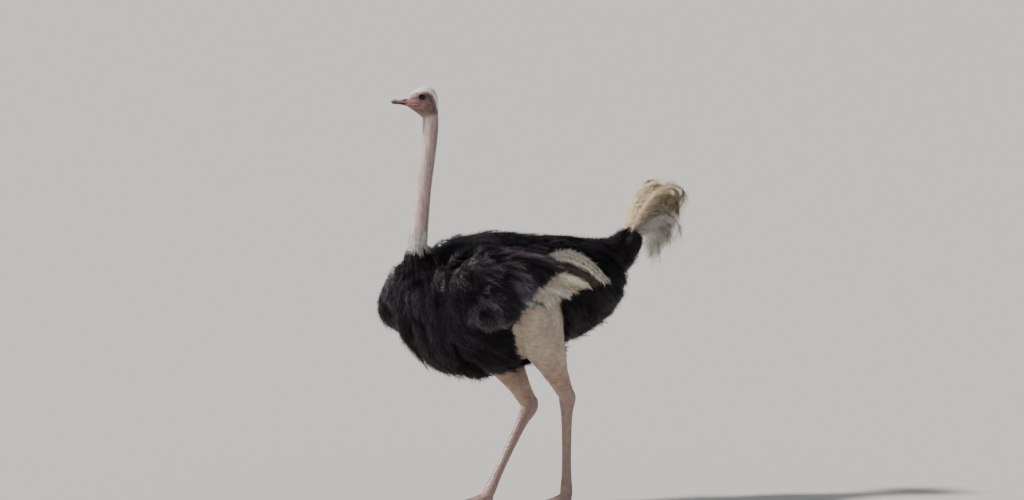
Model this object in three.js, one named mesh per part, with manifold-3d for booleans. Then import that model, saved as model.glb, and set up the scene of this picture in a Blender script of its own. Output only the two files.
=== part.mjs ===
// A male ostrich standing with one foot forward and its head turned to its right, life size.
// Millimetres, +Z up. The bird faces -Y, its left side is +X, and its soles stand on z = 0.
// Every body is the outer form of what it holds, out to the tips of the plumage.
import * as THREE from "three";
import { mergeVertices } from "three/addons/utils/BufferGeometryUtils.js";
import Module from "manifold-3d";

const wasm = await Module();
wasm.setup();

// Driving dimensions.
const GAP = 0.3; // clearance between neighbouring bodies
const TRUNK = { front: -612, rear: 642, back: 1312, belly: 635, width: 540 };
const NECK = { bare: 36.5, foot: 60, top: [0, -457, 1851] }; // radii, and where it meets the head
const NECK_CUTS = [600, 300, 18]; // heights of the level cuts, below the top of the neck
const HEAD = { turn: 34, eyesAboveNeck: 92, eyesAheadOfNeck: 41 }; // turn in degrees, to the right
const EYE = { radius: 18.5, aside: 28 };
const BILL = { tip: -141, width: 27 };
const WING = { thick: 72, lean: 0.24 }; // the upper edge leans in towards the back
const LEFT_WING = { side: 1, out: 0, ahead: 0, lift: 0 };
const RIGHT_WING = { side: -1, out: 22, ahead: 50, lift: -76 };
const TAIL = { root: [0, 600, 1145], spread: 24 };
const LEFT_LEG = { side: 1, knee: [212, -58, 975], ankle: [156, 218, 530], foot: [150, 224, 62] };
const RIGHT_LEG = { side: -1, knee: [-205, -24, 915], ankle: [-130, 225, 462], foot: [-98, -48, 62] };
const THIGH = { wide: 108, deep: 148 };
const TOE = { inner: 168, innerThick: 33, outer: 108, outerThick: 25, splay: 27 }; // splay in degrees
const CLAW = { length: 62, hidden: 22 };

const X_AXIS = new THREE.Vector3(1, 0, 0);
const Z_AXIS = new THREE.Vector3(0, 0, 1);
const radians = THREE.MathUtils.degToRad;
const mix = THREE.MathUtils.lerp;

// Catmull-Rom curve through points that are given as arrays of three numbers.
const curveOf = (points, kind) =>
  new THREE.CatmullRomCurve3(points.map((p) => new THREE.Vector3(...p)), false, kind);

// A closed body through stations [x, y, z, half width, above, below]. The width runs along `across`.
// "Above" is on the side of across x direction of travel: up on a body that runs to the rear,
// behind on a limb that runs down, and ahead on one that runs up. Sections square to the spine
// follow its slope; upright ones don't. A unit sphere's rings of latitude become the sections,
// and `place` moves the finished body.
function loft(stations, { across = X_AXIS, upright = false, sides = 14, rings = 2, place } = {}) {
  const spine = curveOf(stations.map((s) => s.slice(0, 3)), "centripetal");
  const sizes = curveOf(stations.map((s) => s.slice(3)), "catmullrom");
  const geometry = new THREE.SphereGeometry(1, sides, rings * (stations.length - 1));
  const { position, uv } = geometry.attributes;
  for (let i = 0; i < position.count; i++) {
    const share = 1 - uv.getY(i);
    const angle = 2 * Math.PI * uv.getX(i);
    const point = spine.getPoint(share);
    const along = spine.getTangent(share);
    const side = across.clone().addScaledVector(along, -across.dot(along)).normalize();
    const up = upright ? Z_AXIS : side.clone().cross(along);
    const size = sizes.getPoint(share);
    const isEnd = share < 1e-6 || share > 1 - 1e-6;
    const wide = isEnd ? 0 : Math.max(size.x, 1);
    const tall = isEnd ? 0 : Math.max(Math.sin(angle) > 0 ? size.y : size.z, 1);
    point.addScaledVector(side, wide * Math.cos(angle)).addScaledVector(up, tall * Math.sin(angle));
    position.setXYZ(i, point.x, point.y, point.z);
  }
  return solidOf(geometry, place);
}

// A three.js geometry as a solid that can be joined and cut.
function solidOf(geometry, place = new THREE.Matrix4()) {
  const bare = geometry.clone().applyMatrix4(place);
  bare.deleteAttribute("normal");
  bare.deleteAttribute("uv");
  const merged = mergeVertices(bare, 1e-3);
  return new wasm.Manifold(
    new wasm.Mesh({
      numProp: 3,
      vertProperties: merged.attributes.position.array,
      triVerts: new Uint32Array(merged.index.array),
    }),
  );
}

function geometryOf(solid) {
  const { vertProperties, triVerts } = solid.getMesh();
  const geometry = new THREE.BufferGeometry()
    .setAttribute("position", new THREE.BufferAttribute(vertProperties, 3))
    .setIndex(new THREE.BufferAttribute(triVerts, 1));
  geometry.computeVertexNormals();
  return geometry;
}

// The room that a solid takes up with its clearance: its surface moved out by the gap.
function roomFor(solid) {
  const geometry = geometryOf(solid);
  const { position, normal } = geometry.attributes;
  for (let i = 0; i < position.count; i++) {
    position.setXYZ(
      i,
      position.getX(i) + normal.getX(i) * GAP,
      position.getY(i) + normal.getY(i) * GAP,
      position.getZ(i) + normal.getZ(i) * GAP,
    );
  }
  return solidOf(geometry);
}

// Cutting a form by its neighbour can leave crumbs, so the largest piece is kept.
function mainPiece(solid) {
  const main = solid.decompose().reduce((a, b) => (a.volume() > b.volume() ? a : b));
  if (main.volume() < 0.97 * solid.volume()) throw new Error("a body has come apart");
  return main;
}

const cutFor = (solid, ...neighbours) =>
  mainPiece(neighbours.reduce((rest, neighbour) => rest.subtract(roomFor(neighbour)), solid));
const joined = (solids) => solids.reduce((a, b) => a.add(b));

// ---- Trunk: sections as [share of length, top, bottom, width], each a share of its driving size.
const TRUNK_SECTIONS = [
  [0, 0.55, 0.5, 0],
  [0.02, 0.7, 0.33, 0.42],
  [0.09, 0.87, 0.17, 0.76],
  [0.2, 0.965, 0.045, 0.96],
  [0.34, 1, 0, 1],
  [0.52, 0.985, 0.07, 0.95],
  [0.68, 0.945, 0.16, 0.88],
  [0.82, 0.92, 0.26, 0.78],
  [0.92, 0.895, 0.37, 0.63],
  [0.98, 0.85, 0.47, 0.42],
  [1, 0.72, 0.62, 0],
];

function trunk() {
  const length = TRUNK.rear - TRUNK.front;
  const depth = TRUNK.back - TRUNK.belly;
  const stations = TRUNK_SECTIONS.map(([share, top, bottom, width]) => {
    const half = (depth * (top - bottom)) / 2;
    const middle = TRUNK.belly + (depth * (top + bottom)) / 2;
    return [0, TRUNK.front + share * length, middle, (TRUNK.width / 2) * width, half, half];
  });
  return loft(stations, { upright: true, sides: 22 });
}

// ---- Neck: rises out of the breast, nearly upright, and is thickest at its feathered foot.
function neck() {
  const { bare, foot, top } = NECK;
  const station = (back, drop, wide, ahead, behind) => [
    top[0],
    top[1] + back,
    top[2] - drop,
    wide,
    ahead,
    behind,
  ];
  return loft(
    [
      station(137, 1018, foot, foot, foot),
      station(-10, 898, foot * 1.15, foot * 1.1, foot),
      station(-68, 788, foot * 1.05, foot, foot),
      station(-80, 688, foot * 0.88, foot * 0.86, foot * 0.88),
      station(-79, 588, bare * 1.24, bare * 1.26, bare * 1.28),
      station(-58, 468, bare * 1.04, bare * 1.05, bare * 1.08),
      station(-43, 338, bare * 0.98, bare * 0.98, bare),
      station(-21, 208, bare * 0.96, bare * 0.97, bare * 0.99),
      station(-2, 98, bare * 0.98, bare * 0.98, bare * 1.02),
      station(0, 0, bare * 0.98, bare * 0.96, bare * 1.02),
      station(-2, -66, bare * 0.86, bare * 0.8, bare * 0.97),
      station(-6, -98, bare * 0.3, bare * 0.3, bare * 0.3),
    ],
    { sides: 16, rings: 1 },
  );
}

// ---- Head, in its own frame: the point between the eyes is the origin, and the bill points to -Y.
const headPlace = new THREE.Matrix4()
  .makeTranslation(...NECK.top)
  .multiply(new THREE.Matrix4().makeRotationZ(-radians(HEAD.turn)))
  .multiply(new THREE.Matrix4().makeTranslation(0, -HEAD.eyesAheadOfNeck, HEAD.eyesAboveNeck));

// A head station has its top and its bottom at the heights given.
function headStation(y, top, bottom, width, middle = (top + bottom) / 2) {
  return [0, y, middle, width, top - middle, middle - bottom];
}

function cranium() {
  return loft(
    [
      headStation(-74, -18, -34, 8),
      headStation(-70, -4, -44, 22),
      headStation(-61, 4, -49, 27),
      headStation(-48, 19, -58, 31, -16),
      headStation(-28, 32, -72, 38, -10),
      headStation(-3, 42, -91, 42, -7),
      headStation(20, 47, -104, 41.5, -6),
      headStation(42, 42, -96, 37.5, -6),
      headStation(58, 28, -80, 29, -7),
      headStation(68, 10, -60, 18, -9),
      headStation(73, -6, -16, 6),
    ],
    { upright: true, sides: 16, place: headPlace },
  );
}

// The two halves of the bill meet on a gape line that falls towards its corner.
function upperBill() {
  const { tip, width } = BILL;
  return loft(
    [
      headStation(tip, -22, -25, 3),
      headStation(tip + 5, -16, -28, width * 0.42),
      headStation(tip + 22, -12, -29, width * 0.68),
      headStation(tip + 44, -6.5, -31, width * 0.84),
      headStation(tip + 61, -3, -33.5, width * 0.92),
      headStation(tip + 79, 0, -36, width * 0.94),
      headStation(tip + 87, -4, -34, width * 0.6),
    ],
    { upright: true, rings: 1, place: headPlace },
  );
}

function lowerBill() {
  const { tip, width } = BILL;
  return loft(
    [
      headStation(tip + 3, -28.5, -31, 3),
      headStation(tip + 10, -27, -33, width * 0.38),
      headStation(tip + 26, -27.5, -34, width * 0.56),
      headStation(tip + 46, -29.5, -36.5, width * 0.7),
      headStation(tip + 63, -32, -40.5, width * 0.8),
      headStation(tip + 80, -35, -45, width * 0.84),
      headStation(tip + 90, -39, -44, width * 0.5),
    ],
    { upright: true, sides: 12, rings: 1, place: headPlace },
  );
}

const eyeball = (side) =>
  solidOf(new THREE.SphereGeometry(EYE.radius, 14, 8).translate(side * EYE.aside, 0, 0), headPlace);

// A slanting slit through the side of the bill's horn.
const nostril = (side) =>
  solidOf(
    new THREE.SphereGeometry(1, 8, 6)
      .scale(5, 10, 2.6)
      .rotateX(radians(-10))
      .translate(side * BILL.width * 0.86, BILL.tip + 54, -13),
    headPlace,
  );

const earHollow = (side) =>
  solidOf(
    new THREE.SphereGeometry(1, 8, 6).scale(5, 6.5, 8).translate(side * 40, 35, -38),
    headPlace,
  );

// ---- Wings: a folded mass of coverts on the trunk's side, with a fan of plumes at its rear edge.
function wingPoint({ side, out, ahead, lift }, x, y, z) {
  return [side * (x + out), y - ahead, z + lift];
}

// A wing station has its upper and its lower edge at the heights given.
function coverts(wing) {
  const station = (x, y, upper, lower, fullness) => [
    ...wingPoint(wing, x, y, (upper + lower) / 2),
    WING.thick * fullness,
    (upper - lower) / 2,
    (upper - lower) / 2,
  ];
  return loft(
    [
      station(185, -512, 1130, 1090, 0.1),
      station(218, -480, 1226, 985, 0.6),
      station(252, -400, 1282, 903, 0.95),
      station(274, -300, 1290, 880, 1.08),
      station(290, -190, 1282, 942, 1),
      station(300, -90, 1264, 1030, 0.84),
      station(306, 0, 1222, 1096, 0.54),
      station(308, 36, 1180, 1110, 0.32),
      station(308, 52, 1150, 1130, 0.06),
    ],
    { across: new THREE.Vector3(1, 0, WING.lean * wing.side).normalize(), rings: 1 },
  );
}

const WING_PLUMES = 7;
function wingPlumes(wing) {
  const blades = Array.from({ length: WING_PLUMES }, (_, i) => {
    const share = i / (WING_PLUMES - 1); // 0 is the lowest and shortest plume
    const from = { y: mix(-215, -60, share), z: mix(1010, 1172, share) };
    const to = { y: mix(-20, 372, share), z: mix(975, 1050, share) };
    const arch = mix(8, 56, share);
    const width = mix(36, 42, share);
    const outer = mix(328, 300, share) + 6 * (i % 2);
    const at = (s) => {
      const rise = 4 * arch * s * (1 - s);
      return wingPoint(wing, outer - 14 * s, mix(from.y, to.y, s), mix(from.z, to.z, s) + rise);
    };
    return loft(
      [
        [...at(0), 3, 10, 10],
        [...at(0.3), 7, width * 0.85, width * 0.85],
        [...at(0.6), 8, width, width],
        [...at(0.88), 7, width * 0.75, width * 0.75],
        [...at(1), 2, 6, 6],
      ],
      { sides: 6, rings: 1 },
    );
  });
  return joined(blades);
}

// ---- Tail: a short feathered root, cocked up, and tiers of plumes whose tips fall back.
function tailRoot() {
  const [x, y, z] = TAIL.root;
  return loft(
    [
      [x, y - 70, z - 50, 60, 60, 60],
      [x, y, z - 14, 92, 84, 92],
      [x, y + 62, z + 22, 94, 80, 90],
      [x, y + 112, z + 66, 82, 64, 76],
      [x, y + 142, z + 116, 56, 40, 50],
      [x, y + 152, z + 150, 10, 8, 8],
    ],
    { rings: 1 },
  );
}

// Each tier of plumes rises to a crest and falls to its tips, at [back, up] from the plumes' roots.
const TAIL_TIERS = [
  { plumes: 4, crest: [195, 305], tip: [290, 222] },
  { plumes: 5, crest: [240, 205], tip: [298, 108] },
  { plumes: 3, crest: [155, 88], tip: [206, -42] },
];

function tailPlumes() {
  const [x, y, z] = TAIL.root;
  const blades = TAIL_TIERS.flatMap(({ plumes, crest, tip }) =>
    Array.from({ length: plumes }, (_, i) => {
      const fan = radians(mix(-TAIL.spread, TAIL.spread, i / (plumes - 1))); // 0 is the middle plume
      const across = new THREE.Vector3(Math.cos(fan), 0, -Math.sin(fan));
      const at = (back, up) => [
        x + Math.sin(fan) * (60 + 0.7 * Math.hypot(back, up)),
        y + 105 + back,
        z + 55 + Math.cos(fan) * up,
      ];
      return loft(
        [
          [...at(0, 0), 14, 9, 9],
          [...at(0.28 * crest[0], 0.5 * crest[1]), 34, 20, 20],
          [...at(0.66 * crest[0], 0.9 * crest[1]), 44, 26, 26],
          [...at(...crest), 44, 22, 22],
          [...at(mix(crest[0], tip[0], 0.72), mix(crest[1], tip[1], 0.5)), 36, 16, 16],
          [...at(...tip), 14, 6, 6],
        ],
        { across, sides: 6, rings: 1 },
      );
    }),
  );
  const core = loft(
    [
      [x, y + 105, z + 40, 60, 40, 40],
      [x, y + 150, z + 95, 98, 75, 72],
      [x, y + 210, z + 165, 108, 95, 84],
      [x, y + 280, z + 228, 92, 76, 74],
      [x, y + 340, z + 262, 48, 38, 38],
      [x, y + 360, z + 270, 5, 5, 5],
    ],
    { sides: 10, rings: 1 },
  );
  return joined([core, ...blades]);
}

// ---- Legs: the bare thigh and drumstick, the scaly shank with its heel, and two toes.
function alongLimb(from, to, share, shift = [0, 0, 0]) {
  return from.map((value, i) => mix(value, to[i], share) + shift[i]);
}

function drumstick({ knee, ankle }) {
  const section = (share, width, behind, ahead) => [
    ...alongLimb(knee, ankle, share),
    THIGH.wide * width,
    THIGH.deep * behind,
    THIGH.deep * ahead,
  ];
  return loft(
    [
      section(-0.3, 0.3, 0.3, 0.3),
      section(-0.16, 0.8, 0.8, 0.75),
      section(0.05, 0.98, 1, 0.96),
      section(0.28, 0.92, 0.92, 0.9),
      section(0.5, 0.7, 0.68, 0.68),
      section(0.7, 0.48, 0.45, 0.46),
      section(0.86, 0.36, 0.32, 0.33),
      section(0.96, 0.33, 0.29, 0.29),
      section(1.02, 0.15, 0.15, 0.15),
    ],
    { rings: 1 },
  );
}

function shank({ ankle, foot }) {
  const section = (share, width, behind, ahead, shift) => [
    ...alongLimb(ankle, foot, share, shift),
    width,
    behind,
    ahead,
  ];
  return loft(
    [
      section(-0.1, 8, 8, 8, [0, 4, 0]),
      section(-0.065, 29, 30, 30, [0, 2, 0]),
      section(0.01, 37, 50, 41, [0, 2, 0]),
      section(0.09, 32, 44, 34),
      section(0.2, 24, 31, 26),
      section(0.5, 20.5, 24, 23),
      section(0.8, 22, 23, 24),
      section(0.94, 31, 27, 31),
      section(1.02, 29, 24, 29),
      section(1.06, 8, 8, 8),
    ],
    { sides: 10 },
  );
}

// A toe or claw runs from the foot's joint over the ground at an angle, in degrees, to the front.
function alongToe({ side, foot }, angle, reach, height) {
  const turn = radians(angle) * side;
  return [foot[0] + Math.sin(turn) * reach, foot[1] - Math.cos(turn) * reach, height];
}

const acrossToe = ({ side }, angle) =>
  new THREE.Vector3(Math.cos(radians(angle) * side), Math.sin(radians(angle) * side), 0);

function toe(leg, angle, length, thickness) {
  const section = (share, height, width, tall) => [
    ...alongToe(leg, angle, share * length, height * thickness),
    width * thickness,
    tall * thickness,
    tall * thickness,
  ];
  return loft(
    [
      section(-0.16, 1.7, 0.2, 0.2),
      section(-0.06, 1.35, 0.78, 0.8),
      section(0.16, 1.02, 0.98, 1.1),
      section(0.42, 0.78, 1, 0.92),
      section(0.68, 0.68, 0.92, 0.8),
      section(0.9, 0.58, 0.76, 0.66),
      section(1, 0.45, 0.15, 0.2),
    ],
    { across: acrossToe(leg, angle), sides: 10, rings: 1 },
  );
}

function claw(leg) {
  const section = (share, height, width, above, below) => [
    ...alongToe(leg, 0, TOE.inner - CLAW.hidden + share * CLAW.length, height),
    width,
    above,
    below,
  ];
  return loft(
    [
      section(0, 20, 7, 7, 7),
      section(0.2, 18, 14, 12, 12),
      section(0.5, 14, 13, 11, 12),
      section(0.8, 8, 8.5, 8, 9),
      section(1, 3, 2, 2, 3),
    ],
    { across: acrossToe(leg, 0), sides: 8, rings: 1 },
  );
}

const onGround = (solid) => solid.trimByPlane([0, 0, 1], 0);

// ---- Assembly: each body is cut back, with the clearance, by the neighbours it grows from.
const COLOURS = {
  plumage: [0x17141a, 0.85],
  plumes: [0xd9d2c2, 0.9],
  skin: [0xb79f99, 0.75],
  crus: [0xcfc3b8, 0.7],
  shank: [0xa98d80, 0.6],
  horn: [0x6e5a50, 0.45],
  eye: [0x120b08, 0.08],
};
const bodies = new Map();
const add = (name, colour, solid) => bodies.set(name, { colour, solid });

const torso = trunk();
add("trunk", "plumage", torso);

// The neck is parted by level cuts; the highest is just under the jaw, and frees the head.
const between = (solid, low, high) =>
  mainPiece(solid.trimByPlane([0, 0, 1], low + GAP / 2).trimByPlane([0, 0, -1], -(high - GAP / 2)));
const eyes = { left: eyeball(1), right: eyeball(-1) };
const carvedBill = cutFor(upperBill(), lowerBill()).subtract(nostril(-1)).subtract(nostril(1));
const headAndNeck = cutFor(
  cranium().add(neck()).subtract(earHollow(-1)).subtract(earHollow(1)),
  torso,
  upperBill(),
  lowerBill(),
  eyes.left,
  eyes.right,
);
const OVERHEAD = 2500; // a height that nothing reaches
const neckLevels = [0, ...NECK_CUTS.map((below) => NECK.top[2] - below), OVERHEAD];
const neckParts = [
  ["neck_lower", "plumage"],
  ["neck_middle", "skin"],
  ["neck_upper", "skin"],
  ["head", "skin"],
];
neckParts.forEach(([name, colour], i) =>
  add(name, colour, between(headAndNeck, neckLevels[i], neckLevels[i + 1])),
);
add("bill_upper", "horn", carvedBill);
add("bill_lower", "horn", lowerBill());
add("eye_left", "eye", eyes.left);
add("eye_right", "eye", eyes.right);

const legs = [["left", LEFT_LEG], ["right", RIGHT_LEG]];
for (const [name, leg] of legs) {
  const innerToe = onGround(toe(leg, 0, TOE.inner, TOE.innerThick));
  const outerToe = onGround(toe(leg, TOE.splay, TOE.outer, TOE.outerThick));
  const scaly = shank(leg);
  const nail = claw(leg);
  add(`thigh_${name}`, "crus", cutFor(drumstick(leg), torso, scaly));
  add(`shank_${name}`, "shank", scaly);
  add(`toe_inner_${name}`, "shank", cutFor(innerToe, scaly, nail));
  add(`toe_outer_${name}`, "shank", cutFor(outerToe, scaly, innerToe));
  add(`claw_${name}`, "horn", onGround(nail));
}

const thighs = legs.map(([, leg]) => drumstick(leg));
for (const [name, wing] of [["left", LEFT_WING], ["right", RIGHT_WING]]) {
  add(`wing_${name}`, "plumage", cutFor(coverts(wing), torso, ...thighs, neck()));
  add(`wing_plumes_${name}`, "plumes", cutFor(wingPlumes(wing), torso, coverts(wing), ...thighs));
}

add("tail", "plumage", cutFor(tailRoot(), torso));
add("tail_plumes", "plumes", cutFor(tailPlumes(), tailRoot(), torso));

function meshOf(name, { colour, solid }) {
  const [color, roughness] = COLOURS[colour];
  const material = new THREE.MeshStandardMaterial({ color, roughness, metalness: 0 });
  const mesh = new THREE.Mesh(geometryOf(solid), material);
  mesh.name = name;
  return mesh;
}

// The origin is on the ground, under the middle of the whole bird.
const ostrich = new THREE.Group();
bodies.forEach((body, name) => ostrich.add(meshOf(name, body)));
const box = new THREE.Box3().setFromObject(ostrich);
ostrich.position.set(-(box.min.x + box.max.x) / 2, -(box.min.y + box.max.y) / 2, 0);

export default ostrich;
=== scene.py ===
"""Looks of a male ostrich, life size: its skin, horn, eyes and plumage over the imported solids.

Metres, +Z up. The bird faces -Y and its left side is +X. One skin stands for every body of flesh
and lies under the plumage. Each feather is a mesh: a curved shaft with loose barbs on both sides.
"""

import math
from functools import partial

import bmesh
import bpy
import numpy as np
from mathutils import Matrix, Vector
from mathutils.bvhtree import BVHTree


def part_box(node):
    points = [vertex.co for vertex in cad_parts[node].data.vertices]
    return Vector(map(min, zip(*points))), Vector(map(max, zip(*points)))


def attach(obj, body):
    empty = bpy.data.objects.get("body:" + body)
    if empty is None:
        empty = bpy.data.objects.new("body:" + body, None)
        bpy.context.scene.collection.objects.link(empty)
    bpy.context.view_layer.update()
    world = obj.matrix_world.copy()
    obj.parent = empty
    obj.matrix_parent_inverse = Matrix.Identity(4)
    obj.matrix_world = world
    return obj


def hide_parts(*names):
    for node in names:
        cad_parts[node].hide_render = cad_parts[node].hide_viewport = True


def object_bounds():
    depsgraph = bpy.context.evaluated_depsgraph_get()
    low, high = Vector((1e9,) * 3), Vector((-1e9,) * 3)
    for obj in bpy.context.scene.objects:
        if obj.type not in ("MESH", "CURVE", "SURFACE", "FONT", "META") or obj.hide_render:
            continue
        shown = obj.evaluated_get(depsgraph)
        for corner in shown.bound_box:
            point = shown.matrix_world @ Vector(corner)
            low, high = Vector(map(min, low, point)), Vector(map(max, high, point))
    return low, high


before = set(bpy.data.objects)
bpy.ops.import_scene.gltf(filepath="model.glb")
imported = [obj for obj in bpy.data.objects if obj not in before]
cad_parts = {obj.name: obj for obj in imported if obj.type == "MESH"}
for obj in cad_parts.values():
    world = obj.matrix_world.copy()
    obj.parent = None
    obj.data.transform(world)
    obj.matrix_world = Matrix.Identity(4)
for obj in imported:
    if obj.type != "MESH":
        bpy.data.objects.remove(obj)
cad_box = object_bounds()

MM = 0.001
UP = np.array([0.0, 0.0, 1.0])
SIDES = {"left": 1, "right": -1}
MIDDLE = 0.011  # where the bird's middle plane crosses the x axis

# ---- The bird's bodies, as the solids are named.
WINGS, THIGHS, EYES = ([f"{part}_{side}" for side in SIDES] for part in ("wing", "thigh", "eye"))
NECK = ["neck_lower", "neck_middle", "neck_upper"]
BARE_NECK = NECK[1:]
HORN = ["bill_upper", "bill_lower", "claw_left", "claw_right"]
SCALY = [f"{part}_{side}" for part in ("shank", "toe_inner", "toe_outer") for side in SIDES]
LIMBS = [*THIGHS, *SCALY]

# ---- What covers each solid. The skin lies inside a solid by the depth of its cover, in millimetres.
PLUMAGE_DEPTH = {"trunk": 34, "wing_left": 30, "wing_right": 30, "tail": 26, "neck_lower": 13}
DOWN_DEPTH = {"neck_middle": 1.5, "neck_upper": 1.5, "head": 1}
FLANK_DEPTH = 3
BILL_HORN = 2.6
CLAW_HORN = 2
FLESH = [*PLUMAGE_DEPTH, *DOWN_DEPTH, *LIMBS]
CORE = [*FLESH, *HORN, *EYES]

# ---- How fine the skin is: a coarse mesh, halved in edge length once for each listing of a body.
COARSE = 12 * MM
FINE = 3.2 * MM
FACE = ["head", "bill_upper", "bill_lower", *EYES]
HALVED = [[*DOWN_DEPTH, "neck_lower", *HORN, *EYES, *LIMBS], FACE, FACE]

# ---- Where each coat lies to: a direction for each body, which is laid into the skin.
LIE = {
    "trunk": (0, 1, -0.45),
    **dict.fromkeys(WINGS, (0, 1, -0.42)),
    "tail": (0, 0.6, 0.8),
    "neck_lower": (0, 0.12, -1),
    **dict.fromkeys(BARE_NECK, (0, 0, -1)),
    **{f"toe_inner_{side}": (0, -1, -0.1) for side in SIDES},
    **{f"toe_outer_{side}": (0.4 * sign, -1, -0.1) for side, sign in SIDES.items()},
}
DOWNWARD = (0, 0.1, -1)


# ============================================================ arrays of points
def unit(vectors):
    return vectors / np.maximum(np.linalg.norm(vectors, axis=-1, keepdims=True), 1e-9)


def smoothstep(value, low, high):
    share = np.clip((value - low) / (high - low), 0, 1)
    return share * share * (3 - 2 * share)


def mix(a, b, share):
    return np.asarray(a) + (np.asarray(b) - a) * share


def dot(a, b):
    return (a * b).sum(axis=-1, keepdims=True)


def squared(vectors, axes):
    """Unit vectors square to the axes: what is left of the vectors without their part along them."""
    return unit(vectors - dot(vectors, axes) * axes)


def hanging(up):
    """The direction in which a loose end falls, without going in under its surface."""
    return -UP - np.minimum(dot(-UP, up), 0) * up


WAVES = 7
WAVES_PEAK = 3.2  # about as high as their sum gets


def ripple(points, wavelength, seed):
    """A smooth irregular wave through space, from about -1 to 1."""
    rng = np.random.default_rng(seed)
    total = np.zeros(len(points))
    for _ in range(WAVES):
        direction = unit(rng.normal(size=3)) * rng.uniform(0.6, 1.5)
        total += np.sin(points @ direction * (2 * math.pi / wavelength) + rng.uniform(0, 6.28))
    return total / WAVES_PEAK


def box_of(node):
    """The low and the high corner of a solid's box."""
    return np.array([list(corner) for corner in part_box(node)])


# ============================================================ the head's own frame
EYE_PLACE = {side: np.array(sum(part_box(f"eye_{side}"), Vector()) / 2) for side in SIDES}
EYE_RADIUS = 18.5 * MM
BETWEEN_EYES = (EYE_PLACE["left"] + EYE_PLACE["right"]) / 2
HEAD_SIDE = unit((EYE_PLACE["left"] - EYE_PLACE["right"]) * [1, 1, 0])
HEAD_BACK = np.cross(UP, HEAD_SIDE)
HEAD_AXES = np.stack([HEAD_SIDE, HEAD_BACK, UP])


def to_head(points):
    """Points in the head's frame: to its left, behind the eyes and above them, in millimetres."""
    return (points - BETWEEN_EYES) @ HEAD_AXES.T / MM


def from_head(points):
    return BETWEEN_EYES + np.asarray(points, float) * MM @ HEAD_AXES


def beyond_bill_edge(points):
    """How far behind the edge of the bill's horn each point is, in millimetres."""
    local = to_head(points)
    top = smoothstep(np.abs(local[:, 0]), 16, 4) * smoothstep(local[:, 2], -14, -4)
    return local[:, 1] - mix(-69, -60, top) - 0.12 * (local[:, 2] + 20)


# ============================================================ meshes
def linked(name, mesh):
    piece = bpy.data.objects.new(name, mesh)
    bpy.context.scene.collection.objects.link(piece)
    return piece


def finished(name, mesh, material, slot, *nodes):
    """A smooth piece on the one body, in place of the nodes that are named."""
    mesh.polygons.foreach_set("use_smooth", np.ones(len(mesh.polygons), bool))
    mesh.materials.clear()
    mesh.materials.append(material)
    piece = linked(name, mesh)
    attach(piece, "root")
    if nodes:
        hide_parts(*nodes)


def mesh_of(shape, name):
    mesh = bpy.data.meshes.new(name)
    shape.to_mesh(mesh)
    shape.free()
    return mesh


def merged_copy(names):
    """The meshes of CAD nodes as one bmesh, with shared corners and, where they pair up, quads."""
    shape = bmesh.new()
    for name in names:
        shape.from_mesh(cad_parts[name].data)
    bmesh.ops.remove_doubles(shape, verts=shape.verts, dist=0.02 * MM)
    bmesh.ops.join_triangles(shape, faces=shape.faces, angle_face_threshold=0.6, angle_shape_threshold=1.2)
    return shape


def rounded(shape, levels, swell=0.0, voxel=0.0, sharp=math.radians(62)):
    """The shape with its facets rounded off and its cut rims kept, and remeshed if a voxel is given."""
    crease = shape.edges.layers.float.new("crease_edge")
    for edge in shape.edges:
        edge[crease] = 1.0 if edge.calc_face_angle(0) > sharp else 0.0
    mesh = mesh_of(shape, "rounded")
    holder = linked("rounded", mesh)
    smoother = holder.modifiers.new("Rounded", "SUBSURF")
    smoother.levels = smoother.render_levels = levels
    if swell:
        swelling = holder.modifiers.new("Swollen", "DISPLACE")
        swelling.strength = swell
        swelling.mid_level = 0
    if voxel:
        voxels = holder.modifiers.new("Voxels", "REMESH")
        voxels.mode = "VOXEL"
        voxels.voxel_size = voxel
    ready = holder.evaluated_get(bpy.context.evaluated_depsgraph_get())
    result = bpy.data.meshes.new_from_object(ready)
    bpy.data.objects.remove(holder)
    bpy.data.meshes.remove(mesh)
    return result


def points_of(mesh):
    found = np.empty(len(mesh.vertices) * 3)
    mesh.vertices.foreach_get("co", found)
    return found.reshape(-1, 3)


def triangles_of(mesh):
    mesh.calc_loop_triangles()
    found = np.empty(len(mesh.loop_triangles) * 3, int)
    mesh.loop_triangles.foreach_get("vertices", found)
    return found.reshape(-1, 3)


def edges_of(mesh):
    found = np.empty(len(mesh.edges) * 2, int)
    mesh.edges.foreach_get("vertices", found)
    return found.reshape(-1, 2)


def normals_of(points, triangles):
    a, b, c = (points[triangles[:, k]] for k in range(3))
    across = np.cross(b - a, c - a)
    total = np.zeros_like(points)
    for axis in range(3):
        for corner in range(3):
            total[:, axis] += np.bincount(triangles[:, corner], across[:, axis], len(points))
    return unit(total)


def spread(values, edges, rounds, hold=None):
    """Averages a value over the mesh's edges again and again, apart from the points that hold it."""
    table = values.reshape(len(values), -1).astype(float)
    count = 1 + np.bincount(edges.ravel(), minlength=len(table))[:, None]
    for _ in range(rounds):
        total = table.copy()
        for column in range(table.shape[1]):
            for one, other in (edges.T, edges.T[::-1]):
                total[:, column] += np.bincount(one, table[other, column], len(table))
        average = total / count
        table = average if hold is None else mix(average, table, hold[:, None])
    return table.reshape(values.shape)


def searcher(points, faces):
    return BVHTree.FromPolygons(points.tolist(), faces.tolist())


def nearest(tree, points):
    """For each point the nearest place on a surface, and the number of its face."""
    found = [tree.find_nearest(point) for point in points.tolist()]
    return np.array([place for place, *_ in found]), np.array([face for _, _, face, _ in found])


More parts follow.
